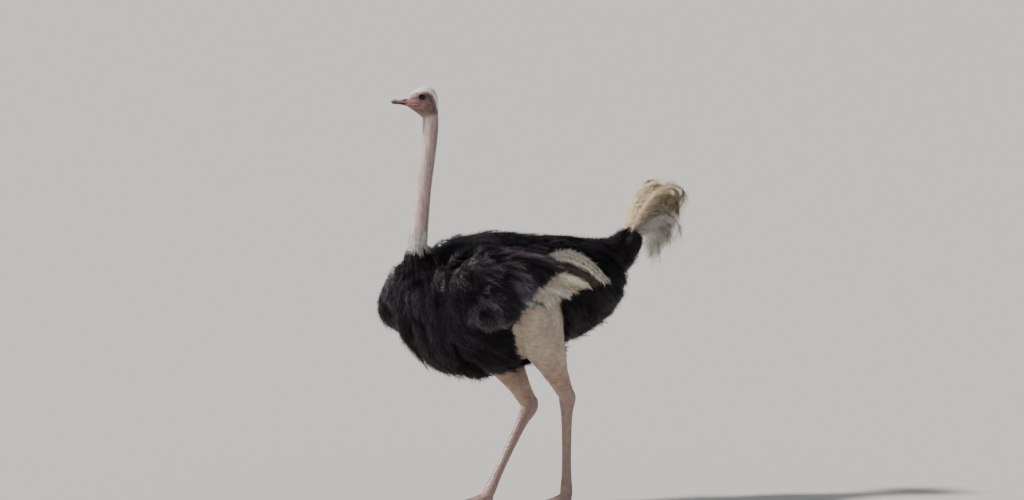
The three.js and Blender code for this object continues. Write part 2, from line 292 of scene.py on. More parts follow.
# ============================================================ the skin
def node_searcher():
    """A tree over all the core's solids, and the number in CORE of the solid of each face."""
    points, faces, owner = [], [], []
    for number, name in enumerate(CORE):
        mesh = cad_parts[name].data
        faces.append(triangles_of(mesh) + sum(map(len, points)))
        points.append(points_of(mesh))
        owner.append(np.full(len(faces[-1]), number))
    return searcher(np.concatenate(points), np.concatenate(faces)), np.concatenate(owner)


NODE_TREE, NODE_OF_FACE = node_searcher()


def owners(points):
    return NODE_OF_FACE[nearest(NODE_TREE, points)[1]]


def among(owner, names):
    return np.isin(owner, [CORE.index(name) for name in names])


def outer_searcher():
    """A tree over one smooth surface round the whole core."""
    outer = rounded(merged_copy(CORE), 2, swell=1 * MM, voxel=FINE)
    tree = searcher(points_of(outer), triangles_of(outer))
    bpy.data.meshes.remove(outer)
    return tree


def refined_core():
    """One closed mesh round the whole core, finer where the bird is bare."""
    coarse = rounded(merged_copy(CORE), 2, swell=1 * MM, voxel=COARSE)
    shape = bmesh.new()
    shape.from_mesh(coarse)
    bpy.data.meshes.remove(coarse)
    for names in HALVED:
        points = np.array([vertex.co for vertex in shape.verts])
        chosen = among(owners(points), names)
        edges = [e for e in shape.edges if chosen[e.verts[0].index] and chosen[e.verts[1].index]]
        bmesh.ops.subdivide_edges(shape, edges=edges, cuts=1, use_grid_fill=True)
        shape.verts.index_update()
    bmesh.ops.triangulate(shape, faces=[face for face in shape.faces if len(face.verts) > 4])
    return mesh_of(shape, "skin")


OUTER_TREE = outer_searcher()
skin_mesh = refined_core()
skin_edges = edges_of(skin_mesh)
skin_triangles = triangles_of(skin_mesh)
core_points = nearest(OUTER_TREE, points_of(skin_mesh))[0]
core_normals = normals_of(core_points, skin_triangles)
skin_owner = owners(core_points)


def on_skin(*names):
    """Which points of the skin belong to these bodies."""
    return among(skin_owner, names)


def eased(names, rounds):
    """1 on these bodies and 0 off them, spread out at their edges."""
    return spread(on_skin(*names).astype(float), skin_edges, rounds)


FLANK_END = -0.08  # how far back the bare skin over the thighs goes
flank = on_skin("trunk") & (eased(THIGHS, 16) > 0.012) & (core_points[:, 1] < FLANK_END)


DEEPEST = 0.3  # the largest share of a body's thickness that its cover takes up


def cover_depths():
    """How deep the skin lies under the solids' surface: eased from body to body, less in thin parts."""
    plumed = np.zeros(len(core_points))
    for name, depth in {**PLUMAGE_DEPTH, **DOWN_DEPTH}.items():
        plumed[skin_owner == CORE.index(name)] = depth * MM
    plumed = np.where(flank, FLANK_DEPTH * MM, plumed)
    bill = on_skin(*FACE) * smoothstep(beyond_bill_edge(core_points), 1.5, -2.5)
    for i in np.flatnonzero(plumed > 5 * MM):
        start = Vector(core_points[i] - core_normals[i] * MM)
        far_wall = OUTER_TREE.ray_cast(start, Vector(-core_normals[i]))[3]
        plumed[i] = min(plumed[i], DEEPEST * (far_wall or 1))
    horned = BILL_HORN * bill + CLAW_HORN * eased(["claw_left", "claw_right"], 1)
    return spread(plumed, skin_edges, 10), horned * MM


FILLINGS = 5
FILLING = 8 * MM  # the most that one filling lifts a place
CREASE_REACH = 30  # in rounds of averaging


def crease_filled(points, where):
    """Lifts hollow places, so that the plumage runs over the creases between the bodies."""
    for _ in range(FILLINGS):
        normals = normals_of(points, skin_triangles)
        hollow = dot(spread(points, skin_edges, CREASE_REACH) - points, normals)
        points = points + normals * np.clip(hollow, 0, FILLING) * where[:, None]
    return spread(points, skin_edges, 2, hold=1 - where)


plumage_depth, horn_depth = cover_depths()
coated = spread((on_skin(*PLUMAGE_DEPTH) & ~flank).astype(float), skin_edges, 10)
skin_cover = np.column_stack([plumage_depth, coated])
skin_points = core_points - core_normals * (plumage_depth + horn_depth)[:, None]
feathered = smoothstep(plumage_depth, 4 * MM, 12 * MM)
skin_points = spread(skin_points, skin_edges, 6, hold=1 - feathered)
skin_points = crease_filled(skin_points, feathered)
skin_points = spread(skin_points, skin_edges, 1)


# ---- The head's forms, in its own frame: lids, brow, the corner of the gape, ear, cheeks, throat.
EYE_OPENING = np.array([15.5, 11.5])  # half its length and half its height, in millimetres
EYE_SLANT = math.radians(7)
GAPE = [(-62, -37), (-40, -39.5), (-19, -39)]  # (behind, above) the eyes
EAR = (36, -38)


def eye_round(local):
    """How far each point is from the middle of the eye, as a share of its opening."""
    along = local[:, 1] * math.cos(EYE_SLANT) - local[:, 2] * math.sin(EYE_SLANT)
    across = local[:, 1] * math.sin(EYE_SLANT) + local[:, 2] * math.cos(EYE_SLANT)
    return np.hypot(along / EYE_OPENING[0], across / EYE_OPENING[1])


def bump_at(distance, width):
    return np.exp(-((distance / width) ** 2))


def distance_to_path(points, path):
    """The distance of flat points from a line through the path's points."""
    best = np.full(len(points), 1e9)
    for start, end in zip(np.array(path[:-1], float), np.array(path[1:], float)):
        run = end - start
        share = np.clip((points - start) @ run / (run @ run), 0, 1)
        best = np.minimum(best, np.linalg.norm(points - start - share[:, None] * run, axis=1))
    return best


def with_lids(local):
    """Lids that lie on the eyeball, with a rolled rim and a crease beyond it."""
    aside = np.abs(local[:, 0])
    share = eye_round(local)
    flat = np.hypot(local[:, 1], local[:, 2])
    ball = EYE_RADIUS / MM
    centre = EYE_PLACE["left"] - BETWEEN_EYES
    middle = np.linalg.norm(centre) / MM

    def sphere(radius):
        return middle + np.sqrt(np.maximum(radius**2 - flat**2, 0))

    lid = sphere(ball + 2.2) + 0.9 * bump_at(share - 1.1, 0.13)
    lid = lid - 1.3 * bump_at(share - 1.5, 0.12)
    near = smoothstep(share, 2.1, 1.45)
    outside = mix(aside, np.maximum(aside, lid), near)
    inside = sphere(ball - 2.5)
    shaped = mix(inside, outside, smoothstep(share, 0.96, 1.06))
    facing = (aside > 18) & (share < 2.2)
    result = local.copy()
    result[:, 0] = np.sign(local[:, 0]) * np.where(facing, shaped, aside)
    return result


def head_relief(local):
    """How far the skin of the head stands out from its plain form, in millimetres."""
    aside = np.abs(local[:, 0])
    back, height = local[:, 1], local[:, 2]
    flat = local[:, 1:]
    share = eye_round(local)
    on_side = smoothstep(aside, 8, 20)
    brow = 2.2 * bump_at(height - 19, 5) * bump_at(back + 1, 17) * smoothstep(aside, 14, 26)
    to_gape = distance_to_path(flat, GAPE)
    gape = 1.3 * bump_at(to_gape - 4, 2.4) - 2 * bump_at(to_gape, 1.6)
    to_ear = np.hypot(back - EAR[0], (height - EAR[1]) * 0.8)
    ear = 0.7 * bump_at(to_ear - 7, 2.6) - 3.6 * bump_at(to_ear, 3.6)
    folds = 0.55 * np.sin(0.62 * height + 0.16 * back + 2 * np.sin(0.09 * back))
    cheek = folds * bump_at(height + 30, 16) * bump_at(back + 12, 26) * smoothstep(share, 1.5, 2)
    under = smoothstep(height, -50, -66)
    throat = 0.8 * under * ripple(local * [1, 0.35, 0.5], 9, 3)
    return brow + on_side * (gape + ear + cheek) + throat


def shape_head(points):
    """The points with the forms of the head added, where they are on it."""
    local = to_head(points)
    normals = normals_of(points, skin_triangles) @ HEAD_AXES.T
    not_horn = smoothstep(horn_depth, 1.5 * MM, 0.2 * MM)
    relief = head_relief(local) * not_horn * smoothstep(local[:, 2], -125, -100)
    local = with_lids(local + normals * relief[:, None])
    return np.where(on_skin(*FACE)[:, None], from_head(local), points)


def shape_limbs(points):
    """Folds of the neck and thighs, the neck's column in the breast, and the limbs' rough skin."""
    normals = normals_of(points, skin_triangles)
    long_folds = 0.7 * ripple(points * [1, 1, 0.12], 15 * MM, 5) + 0.4 * ripple(points, 9 * MM, 6)
    folds = 1.3 * ripple(points * [0.5, 0.5, 1], 46 * MM, 7) + 0.7 * ripple(points, 14 * MM, 8)
    relief = on_skin(*NECK) * long_folds + on_skin(*THIGHS) * folds
    aside = np.abs(points[:, 0] - MIDDLE)
    front = smoothstep(points[:, 1], -0.58, -0.68) * smoothstep(points[:, 2], 0.84, 1.0)
    relief += feathered * front * (11 * bump_at(aside, 0.05) - 15 * bump_at(aside - 0.095, 0.032))
    relief += on_skin(*SCALY) * 0.6 * ripple(points * [0.7, 0.7, 1], 11 * MM, 9)
    return points + normals * (spread(relief, skin_edges, 1) * MM)[:, None]


past_edge = beyond_bill_edge(skin_points)
at_edge = smoothstep(past_edge, -2, 3) * smoothstep(past_edge, 22, 12) * on_skin(*FACE)
skin_points = spread(skin_points, skin_edges, 50, hold=1 - at_edge)
skin_points = shape_limbs(shape_head(skin_points))
skin_points[:, 2] = np.maximum(skin_points[:, 2], 0)
skin_normals = normals_of(skin_points, skin_triangles)
skin_mesh.vertices.foreach_set("co", skin_points.ravel())
skin_mesh.update()


# ============================================================ materials
def linear(red, green, blue):
    """A colour given as screen values from 0 to 255, as linear light."""
    share = np.array([red, green, blue]) / 255
    return np.where(share < 0.04, share / 12.92, ((share + 0.055) / 1.055) ** 2.4)


class Shade:
    """A value or colour in a material. Arithmetic on values adds Math nodes."""

    def __init__(self, finish, socket):
        self.finish = finish
        self.socket = socket

    def math(self, operation, *values):
        return self.finish.node("Math", {"operation": operation}, dict(enumerate(values)))

    def __add__(self, other):
        return self.math("ADD", self, other)

    def __sub__(self, other):
        return self.math("SUBTRACT", self, other)

    def __rsub__(self, other):
        return self.math("SUBTRACT", other, self)

    def __mul__(self, other):
        return self.math("MULTIPLY", self, other)

    __radd__ = __add__
    __rmul__ = __mul__

    def between(self, low, high):
        """0 below low, 1 above high, eased between them."""
        inputs = {"Value": self, "From Min": low, "From Max": high}
        return self.finish.node("MapRange", {"interpolation_type": "SMOOTHSTEP"}, inputs)


class Finish:
    """A material: a Principled shader and the nodes that feed it."""

    def __init__(self, name, **uniform):
        self.material = bpy.data.materials.new(name)
        self.material.use_nodes = True
        self.tree = self.material.node_tree
        self.shader = self.tree.nodes["Principled BSDF"]
        for socket, value in uniform.items():
            self.shader.inputs[socket.replace("_", " ")].default_value = value
        self.place = self.node("TexCoord", output="Object")

    def feed(self, socket, value):
        if isinstance(value, Shade):
            self.tree.links.new(value.socket, socket)
        elif isinstance(value, np.ndarray):
            socket.default_value = (*value, 1)
        else:
            socket.default_value = value

    def node(self, kind, settings=None, inputs=None, output=0):
        node = self.tree.nodes.new("ShaderNode" + kind)
        for setting, value in (settings or {}).items():
            setattr(node, setting, value)
        for socket, value in (inputs or {}).items():
            self.feed(node.inputs[socket], value)
        return Shade(self, node.outputs[output])

    def stretched(self, x, y, z):
        return self.node("Mapping", inputs={"Vector": self.place, "Scale": (x, y, z)})

    def noise(self, scale, detail=3, vector=None):
        inputs = {"Vector": vector or self.place, "Scale": scale, "Detail": detail}
        return self.node("TexNoise", inputs=inputs)

    def cells(self, scale):
        inputs = {"Vector": self.place, "Scale": scale}
        return self.node("TexVoronoi", {"feature": "F1"}, inputs, output="Distance")

    def attribute(self, name, output="Fac"):
        return self.node("Attribute", {"attribute_name": name}, output=output)

    def mixed(self, a, b, factor):
        inputs = {0: factor, 6: a, 7: b}
        return self.node("Mix", {"data_type": "RGBA"}, inputs, output=2)

    def scaled(self, colour, factor):
        """A colour made lighter or darker by a value."""
        inputs = {0: colour, "Scale": factor}
        return self.node("VectorMath", {"operation": "SCALE"}, inputs)

    def surface(self, **links):
        for socket, value in links.items():
            self.feed(self.shader.inputs[socket.replace("_", " ")], value)

    def bumped(self, height, distance, strength=1.0):
        """Raises the surface by a height from 0 to 1, over a distance in metres."""
        inputs = {"Height": height, "Distance": distance, "Strength": strength}
        self.surface(Normal=self.node("Bump", inputs=inputs))


def skin_finish():
    finish = Finish("bare_skin", Roughness=0.62, Specular_IOR_Level=0.35)
    hue = finish.attribute("Hue", "Color")
    neck = finish.attribute("Neck")
    scaly = finish.attribute("Scaly")
    thigh = finish.attribute("Thigh")
    mottle = finish.noise(38, 4)
    streak = finish.noise(95, 3, finish.stretched(1, 1, 0.09))
    spots = finish.noise(420, 2).between(0.62, 0.72)
    pebbles = finish.cells(230)
    pores = finish.cells(150)
    tone = 0.72 + 0.56 * mottle
    tone = tone * (1 + neck * (streak - 0.5) * 1.5)
    tone = tone * (1 - 0.45 * neck * spots)
    tone = tone * (1 - 0.28 * scaly * pebbles.between(0.4, 0.8))
    tone = tone * (1 + 0.07 * thigh * (1 - pores.between(0.1, 0.5)))
    folds = finish.noise(55, 4, finish.stretched(0.5, 0.5, 1.7))
    blotches = finish.noise(13, 4, finish.stretched(1, 1, 0.6))
    tone = tone * (1 + thigh * (folds - 0.5) * 0.8) * (1 + thigh * (blotches - 0.5) * 1.1)
    finish.surface(Base_Color=finish.scaled(hue, tone))
    wrinkle = finish.noise(160, 5, finish.stretched(1, 1, 0.45))
    finish.surface(Roughness=0.6 + 0.4 * finish.attribute("Plumed"))
    relief = 0.35 * wrinkle + 0.5 * scaly * (1 - pebbles) + 0.6 * thigh * (1 - pores)
    finish.bumped(relief + 0.3 * neck * streak + 0.9 * thigh * folds, 1.4 * MM, 0.8)
    return finish.material


def horn_finish(name, groove_scale):
    finish = Finish(name, Roughness=0.4, Specular_IOR_Level=0.5)
    hue = finish.attribute("Hue", "Color")
    grain = finish.noise(groove_scale, 5, finish.stretched(1, 0.25, 1))
    finish.surface(Base_Color=finish.scaled(hue, 0.75 + 0.5 * grain))
    finish.bumped(grain, 0.5 * MM, 0.6)
    return finish.material


def feather_finish(name, roughness, sheen, gloss):
    finish = Finish(name, Roughness=roughness, Sheen_Weight=sheen, Specular_IOR_Level=gloss)
    hue = finish.attribute("Hue", "Color")
    streak = finish.noise(140, 3)
    finish.surface(Base_Color=finish.scaled(hue, 0.6 + 0.8 * streak))
    return finish.material


SKIN = skin_finish()
BLACK = feather_finish("black_plumage", 0.45, 0.0, 0.12)
WHITE = feather_finish("white_plumage", 0.7, 0.1, 0.4)
DOWN = feather_finish("down", 0.75, 0.1, 0.4)
BILL_FINISH = horn_finish("bill_horn", 420)
CLAW_FINISH = horn_finish("claw_horn", 260)

# ---- Markings, which skin and coat share, and colours that carry painted shade and light.
PLUMAGE_BLACK = linear(19, 17, 20)
PLUMAGE_BROWN = linear(60, 52, 51)
NECK_SKIN = linear(206, 178, 173)
NECK_SHADE = linear(106, 86, 90)
MOUTH = linear(58, 38, 38)
CROWN = linear(248, 244, 240)
FACE_PINK = linear(156, 113, 113)
CHEEK_GREY = linear(118, 94, 93)
GAPE_PINK = linear(184, 134, 132)
EYE_RING = linear(92, 68, 66)
FACE_DARK = linear(66, 46, 46)
# The throat's olive skin, made darker as painted shade under the jaw.
THROAT = linear(122, 104, 86)
LIPS = [(-140, -27), (-97, -31), (-62, -36), (-31, -39)]  # (behind, above) the eyes
CROWN_EDGE = [(-72, 17), (-64, 11), (-28, 22), (0, 28), (26, 27), (50, 8), (62, -16), (70, -52), (80, -86)]
# Dark lines of the face: their path (behind, above), half width and strength.
DARK_LINES = (
    ([(-80, -15), (-58, -9), (-40, -6), (-20, -2)], 4.5, 0.75),
    ([(-64, 8), (-44, 12), (-24, 14)], 3, 0.3),
    ([(-70, -39), (-40, -43), (-16, -43), (-6, -36)], 3.2, 1),
    # This line, under the lower jaw, is painted shade.
    ([(-60, -52), (-36, -58), (-12, -60), (10, -66)], 6, 0.6),
    ([(-12, -22), (4, -26), (18, -20)], 3, 0.6),
    ([(18, 2), (30, -6), (38, -20)], 4, 0.4),
    ([(28, 14), (40, -6), (48, -28), (52, -46), (58, -68)], 5, 0.8),
    ([(6, -44), (22, -52), (30, -64)], 3.4, 0.5),
    ([(-44, -26), (-30, -30), (-18, -28)], 3, 0.6),
    ([(-16, 10), (-2, 17), (14, 14)], 3, 0.6),
    ([EAR, (EAR[0] + 3, EAR[1] - 5)], 3.4, 0.75),
    ([(20, -46), (36, -58), (46, -74)], 4, 0.45),
)
THIGH_TOP = linear(170, 155, 138)
CRUS_LOW = linear(162, 136, 120)
SHANK_SKIN = linear(166, 141, 131)
CULMEN = linear(200, 180, 168)
BILL_SIDE = linear(164, 124, 117)
NAIL = linear(72, 68, 57)
CLAW_ROOT = linear(120, 102, 88)
CLAW_TIP = linear(58, 48, 42)
SCUTE = linear(150, 128, 118)
NOSTRIL = [(-85, -16), (-69, -11.5)]  # (behind, above) the eyes


def plain(colour, points):
    """One colour for every point."""
    return np.tile(colour, (len(points), 1))


def blended(base, *layers):
    """The base colours with layers over them, each a colour and its share at each point."""
    for colour, share in layers:
        base = mix(base, colour, np.asarray(share)[:, None])
    return base


def bill_side_hue(height):
    """The colour of the upper bill's horn at heights above the eyes, in millimetres: paler on top, partly
    the culmen's own horn and partly painted light from above.
    """
    return blended(plain(BILL_SIDE, height), (CULMEN, smoothstep(height, -16, -6)))


def head_hues(points):
    local = to_head(points)
    back, height = local[:, 1], local[:, 2]
    aside = np.abs(local[:, 0])
    flat = local[:, 1:]
    share = eye_round(local)
    on_side = smoothstep(aside, 6, 16)
    past_edge = beyond_bill_edge(points)

    def dark_line(path, width):
        ragged = 1 + 0.5 * ripple(local, 11, int(10 * width))
        return np.clip(bump_at(distance_to_path(flat, path), width) * ragged, 0, 1)

    # Lighter pink streaks over the cheeks: partly the skin's own pink, partly painted highlight on its
    # ridges.
    pink_and_highlight_streaks = smoothstep(ripple(local * [1, 0.5, 1.6], 13, 22), 0.1, 1.2) * smoothstep(back, 24, 4)
    throat = smoothstep(height, -44, -60) * smoothstep(back, 34, 8) * smoothstep(height, -112, -84)
    mottled = smoothstep(ripple(local, 7, 14) + 0.5 * ripple(local, 3.5, 15), 0.75, 1.3)
    patchy = smoothstep(ripple(local, 19, 20), 0.2, 1.4) * smoothstep(height, -90, -70)
    paled = smoothstep(ripple(local, 4.5, 17), 0.5, 1.3)
    crown_edge = np.interp(back, *zip(*CROWN_EDGE))
    ragged = 4.5 * ripple(local, 8, 16) + 3 * ripple(local, 4, 18)
    return blended(
        plain(FACE_PINK, points),
        (CHEEK_GREY, smoothstep(back + 0.3 * ripple(local, 30, 12) * 10, -2, 28)),
        (NECK_SKIN, smoothstep(height, -72, -100)),
        (GAPE_PINK, 0.7 * pink_and_highlight_streaks * on_side * smoothstep(height, -60, -50)),
        (GAPE_PINK, 0.8 * bump_at(distance_to_path(flat, LIPS), 6) * on_side),
        (EYE_RING, 0.75 * smoothstep(share, 2.3, 1.3)),
        (THROAT, 0.8 * throat),
        *((FACE_DARK, strength * dark_line(path, width) * on_side) for path, width, strength in DARK_LINES),
        (FACE_DARK, 0.6 * mottled * smoothstep(height, -96, -76) * on_side),
        (FACE_DARK, 0.4 * patchy * smoothstep(back, -40, -20) * on_side),
        (CROWN, 0.22 * paled * smoothstep(back, -70, -50) * on_side),
        (bill_side_hue(height), 0.85 * smoothstep(past_edge, 17, 0)),
        (MOUTH, smoothstep(past_edge, -2, -6)),
        (CROWN, smoothstep(height - crown_edge + ragged, -6, 8) * smoothstep(back, -84, -58)),
    )


def skin_hues():
    points = skin_points
    low, high = box_of("thigh_left")[:, 2]
    up_thigh = smoothstep(points[:, 2], low + 0.05, mix(low, high, 0.5))
    # Painted shade: skin under the plumage is near black, for the dark depth of the coat over it.
    hue = plain(PLUMAGE_BLACK * 0.4, points)
    for names, colours in (
        (BARE_NECK, plain(NECK_SKIN, points)),
        ([*FACE, *HORN], head_hues(points)),
        (THIGHS, blended(CRUS_LOW[None], (THIGH_TOP, up_thigh))),
        (SCALY, plain(SHANK_SKIN, points)),
    ):
        chosen = on_skin(*names)
        hue[chosen] = colours[chosen]
    hue[flank] = THIGH_TOP
    # Painted shade: the neck's side that faces back, and the head below the jaw, are darkened towards
    # NECK_SHADE, with the neck skin's own streaks mixed in.
    behind = smoothstep(skin_normals @ HEAD_BACK, -0.1, 0.9)
    streaky = 0.5 + 0.5 * ripple(points * [1, 1, 0.1], 16 * MM, 21)
    below = on_skin("head") * smoothstep(to_head(points)[:, 2], -60, -104)
    painted_shade_and_streaks = (on_skin(*BARE_NECK) + below) * (0.7 * behind + 0.25 * np.clip(streaky, 0, 1))
    return spread(blended(hue, (NECK_SHADE, painted_shade_and_streaks)), skin_edges, 3)


def give(mesh, name, values, kind="FLOAT"):
    """A value or, with kind FLOAT_COLOR, a colour at each of a mesh's points."""
    attribute = mesh.attributes.new(name, kind, "POINT")
    if kind == "FLOAT_COLOR":
        values = np.column_stack([values, np.ones(len(values))])
        attribute.data.foreach_set("color", values.ravel().astype(np.float32))
    else:
        attribute.data.foreach_set("value", values.astype(np.float32))


give(skin_mesh, "Hue", skin_hues(), "FLOAT_COLOR")
for mask, names in (("Neck", NECK), ("Scaly", SCALY), ("Thigh", THIGHS)):
    give(skin_mesh, mask, eased(names, 4))
give(skin_mesh, "Plumed", coated)
finished("skin", skin_mesh, SKIN, "skin", *FLESH)

# ============================================================ the coat
PATCH = 0.003  # the size of one tuft's patch on the coat's OFBake map
PATCH_USED = 0.96
REACH = np.array([0.028, 0.045, 0.03])  # how far loose barbs may stand out of the solids' box


def lie_of(points):
    """The direction that the coat runs in at each point of the skin."""
    lie = plain(np.array(DOWNWARD, float), points)
    for name, direction in LIE.items():
        lie[on_skin(name)] = direction
    front = box_of("trunk")[0, 1]
    breast = on_skin("trunk") * smoothstep(points[:, 1], front + 0.5, front + 0.05)
    under_wing = on_skin("trunk") * smoothstep(eased(WINGS, 40), 0.02, 0.16)
    ahead = on_skin(*WINGS) * smoothstep(-skin_normals[:, 1], 0.3, 0.8)
    lie = blended(lie, ((0, 0.35, -1.1), breast), ((0, 1, -0.35), under_wing), ((0, 0.25, -1), ahead))
    lie[on_skin(*FACE)] = HEAD_BACK - 0.25 * UP
    return squared(spread(unit(lie), skin_edges, 14), skin_normals)


skin_lie = lie_of(skin_points)
skin_tree = searcher(skin_points, skin_triangles)


def at_triangles(values, triangles):
    return values[skin_triangles[triangles]].mean(axis=1)


TRIES = 5  # random places for each square, of which one becomes a root


def scattered(chosen, spacing, seed):
    """Roots over some of the skin's triangles, about one for each square of that spacing."""
    rng = np.random.default_rng(seed)
    a, b, c = (skin_points[skin_triangles[chosen, k]] for k in range(3))
    area = np.linalg.norm(np.cross(b - a, c - a), axis=1) / 2
    count = int(TRIES * area.sum() / spacing**2)
    pick = rng.choice(len(chosen), count, p=area / area.sum())
    one, two = rng.random((2, count, 1))
    one, two = np.where(one + two > 1, 1 - one, one), np.where(one + two > 1, 1 - two, two)
    place = a[pick] + one * (b - a)[pick] + two * (c - a)[pick]
    cell = np.floor(place / spacing).astype(int)
    first = np.unique(cell, axis=0, return_index=True)[1]
    return place[first], chosen[pick[first]]


def on_bodies(names, share=0.5):
    """The skin's triangles that lie on these bodies."""
    return np.flatnonzero(on_skin(*names)[skin_triangles].mean(axis=1) > share)


def unwrapped(place, axis):
    """Each root's place on the skin laid flat: its turn about the axis and its share along it."""
    axis = unit(np.array(axis, float))
    side = unit(np.cross(axis, [0.3, 0.2, 1] if abs(axis[2]) < 0.9 else [1, 0, 0]))
    other = np.cross(axis, side)
    middle = place.mean(axis=0)
    turn = np.arctan2((place - middle) @ other, (place - middle) @ side) / (2 * math.pi) + 0.5
    along = place @ axis
    share = (along - along.min()) / max(np.ptp(along), 1e-6)
    return PATCH + (1 - 2 * PATCH) * np.column_stack([turn, share])


def laid(place, triangle, length, wander, count):
    """Follows the coat's lie over the skin from each root: places, normals and the skin's cover."""
    trail, ups, covers = [place], [], []
    for step in range(count):
        normal = unit(at_triangles(skin_normals, triangle))
        heading = squared(at_triangles(skin_lie, triangle), normal)
        heading = unit(heading + wander[:, None] * np.cross(normal, heading))
        ups.append(normal)
        covers.append(at_triangles(skin_cover, triangle))
        if step < count - 1:
            place, triangle = nearest(skin_tree, place + heading * length[:, None] / (count - 1))
            trail.append(place)
    return np.stack(trail, 1), np.stack(ups, 1), np.stack(covers, 1)


def along_of(trail):
    """The direction of travel at each station of each trail."""
    return unit(np.gradient(trail, axis=1))


def at_shares(values, shares):
    """Station values (feathers, stations, 3) at shares of the way (feathers, places)."""
    spot = np.clip(shares, 0, 0.9999) * (values.shape[1] - 1)
    low = spot.astype(int)
    row = np.arange(len(values))[:, None]
    return mix(values[row, low], values[row, low + 1], (spot - low)[..., None])


class Coat:
    """Gathers ribbons that each run to a point, and makes them one mesh."""

    def __init__(self):
        self.batches = []

    def add(self, paths, across, widths, hues, centres, halves, facing):
        """Paths, colours, map places and facing at each station, and a width at all but the last."""
        count, stations, _ = paths.shape
        offset = across[:, None] * widths[..., None] / 2
        body = np.stack([paths[:, :-1] - offset, paths[:, :-1] + offset], 2)
        points = np.concatenate([body.reshape(count, -1, 3), paths[:, -1:]], 1)
        spots = np.stack([centres[:, :-1] - halves, centres[:, :-1] + halves], 2)
        spots = np.concatenate([spots.reshape(count, -1, 2), centres[:, -1:]], 1)
        shades, facings = (
            np.concatenate([np.repeat(values[:, :-1], 2, 1), values[:, -1:]], 1) for values in (hues, facing)
        )
        size = 2 * stations - 1
        first = np.arange(count)[:, None, None] * size
        rung = 2 * np.arange(stations - 2)[None, :, None]
        quads = (first + rung + np.array([0, 2, 3, 1])).reshape(-1, 4)
        tips = (first[:, 0] + np.array([size - 3, size - 1, size - 2])).reshape(-1, 3)
        values = [value.reshape(-1, value.shape[-1]) for value in (points, spots, shades, facings)]
        self.batches.append([*values, quads, tips])

    def built(self, name, material, slot, *nodes):
        starts = np.cumsum([0] + [len(batch[0]) for batch in self.batches])
        points, spots, shades, facings = (
            np.concatenate([batch[k] for batch in self.batches]) for k in range(4)
        )
        points = np.clip(points, np.array(cad_box[0]) - REACH, np.array(cad_box[1]) + REACH)
        quads, tips = (
            np.concatenate([batch[k] + start for batch, start in zip(self.batches, starts)]) for k in (4, 5)
        )
        corners = np.concatenate([quads.ravel(), tips.ravel()]).astype(np.int32)
        ends = np.cumsum(np.concatenate([np.full(len(quads), 4), np.full(len(tips), 3)]))
        mesh = bpy.data.meshes.new(name)
        mesh.vertices.add(len(points))
        mesh.vertices.foreach_set("co", points.astype(np.float32).ravel())
        mesh.loops.add(len(corners))
        mesh.loops.foreach_set("vertex_index", corners)
        mesh.polygons.add(len(ends))
        mesh.polygons.foreach_set("loop_start", np.concatenate([[0], ends[:-1]]).astype(np.int32))
        mesh.update(calc_edges=True)
        mesh.normals_split_custom_set_from_vertices(unit(facings).tolist())
        layer = mesh.uv_layers.new(name="OFBake")
        layer.data.foreach_set("uv", spots[corners].astype(np.float32).ravel())
        give(mesh, "Hue", shades, "FLOAT_COLOR")
        finished(name, mesh, material, slot, *nodes)


class Look:
    """How feathers are built. Lengths are in metres and angles in radians."""

    # ---- Each feather.
    barbs = 32  # on each side of the shaft
    barb_width = 2 * MM
    joints = 2  # in each barb
    bunches = 5  # into which the barbs of each side part
    single = 0.5  # how little the barbs keep to their bunch
    bare = 0.08  # the share of the shaft before the first barbs
    open = 0.95  # the angle of the first barbs to the shaft
    blunt = 0.6  # the lower, the wider the feather's two ends
    shaft = 1.8 * MM
    shaft_tone = 1.3
    fluff = 0.2  # how far the barbs rise
    curl = 0  # and how far they then bend back down
    stray = 0.15
    droop = 0.15
    round = 0.7  # how far shading makes the vane look arched
    sparkle = 0.2
    # Painted highlight: how much lighter barbs grow towards their ends, in the highlight tint.
    tip_light = 0.4
    tip_tint = (1, 1, 1)
    rim = 0  # painted light: how much lighter the barbs are that point up, and darker those that point down

    # ---- How a coat of them lies.
    spacing = 23.5 * MM
    length = 0.15
    half_width = 27 * MM
    lock = 75 * MM  # the distance between locks of feathers
    gather = 0.3  # how far feathers run together to their lock's end
    lock_turn = 0.2
    wander = 0.12  # how far each feather turns from its lock
    lift = 0.95  # in shares of the coat's depth, as are the next two
    lowest = 0.25
    highest = 1.12
    lean = 1.1  # how far a lock's feathers face out of its middle
    loose = 0.1  # how far the feathers' ends hang
    outward = 0.2  # and how far they stand off
    brown = 0.2
    bright = 1.8  # painted highlight: how much lighter the lightest locks are

    def __init__(self, **changes):
        self.__dict__.update(changes)

    def but(self, **changes):
        """The same look apart from some changes."""
        return Look(**{**self.__dict__, **changes})


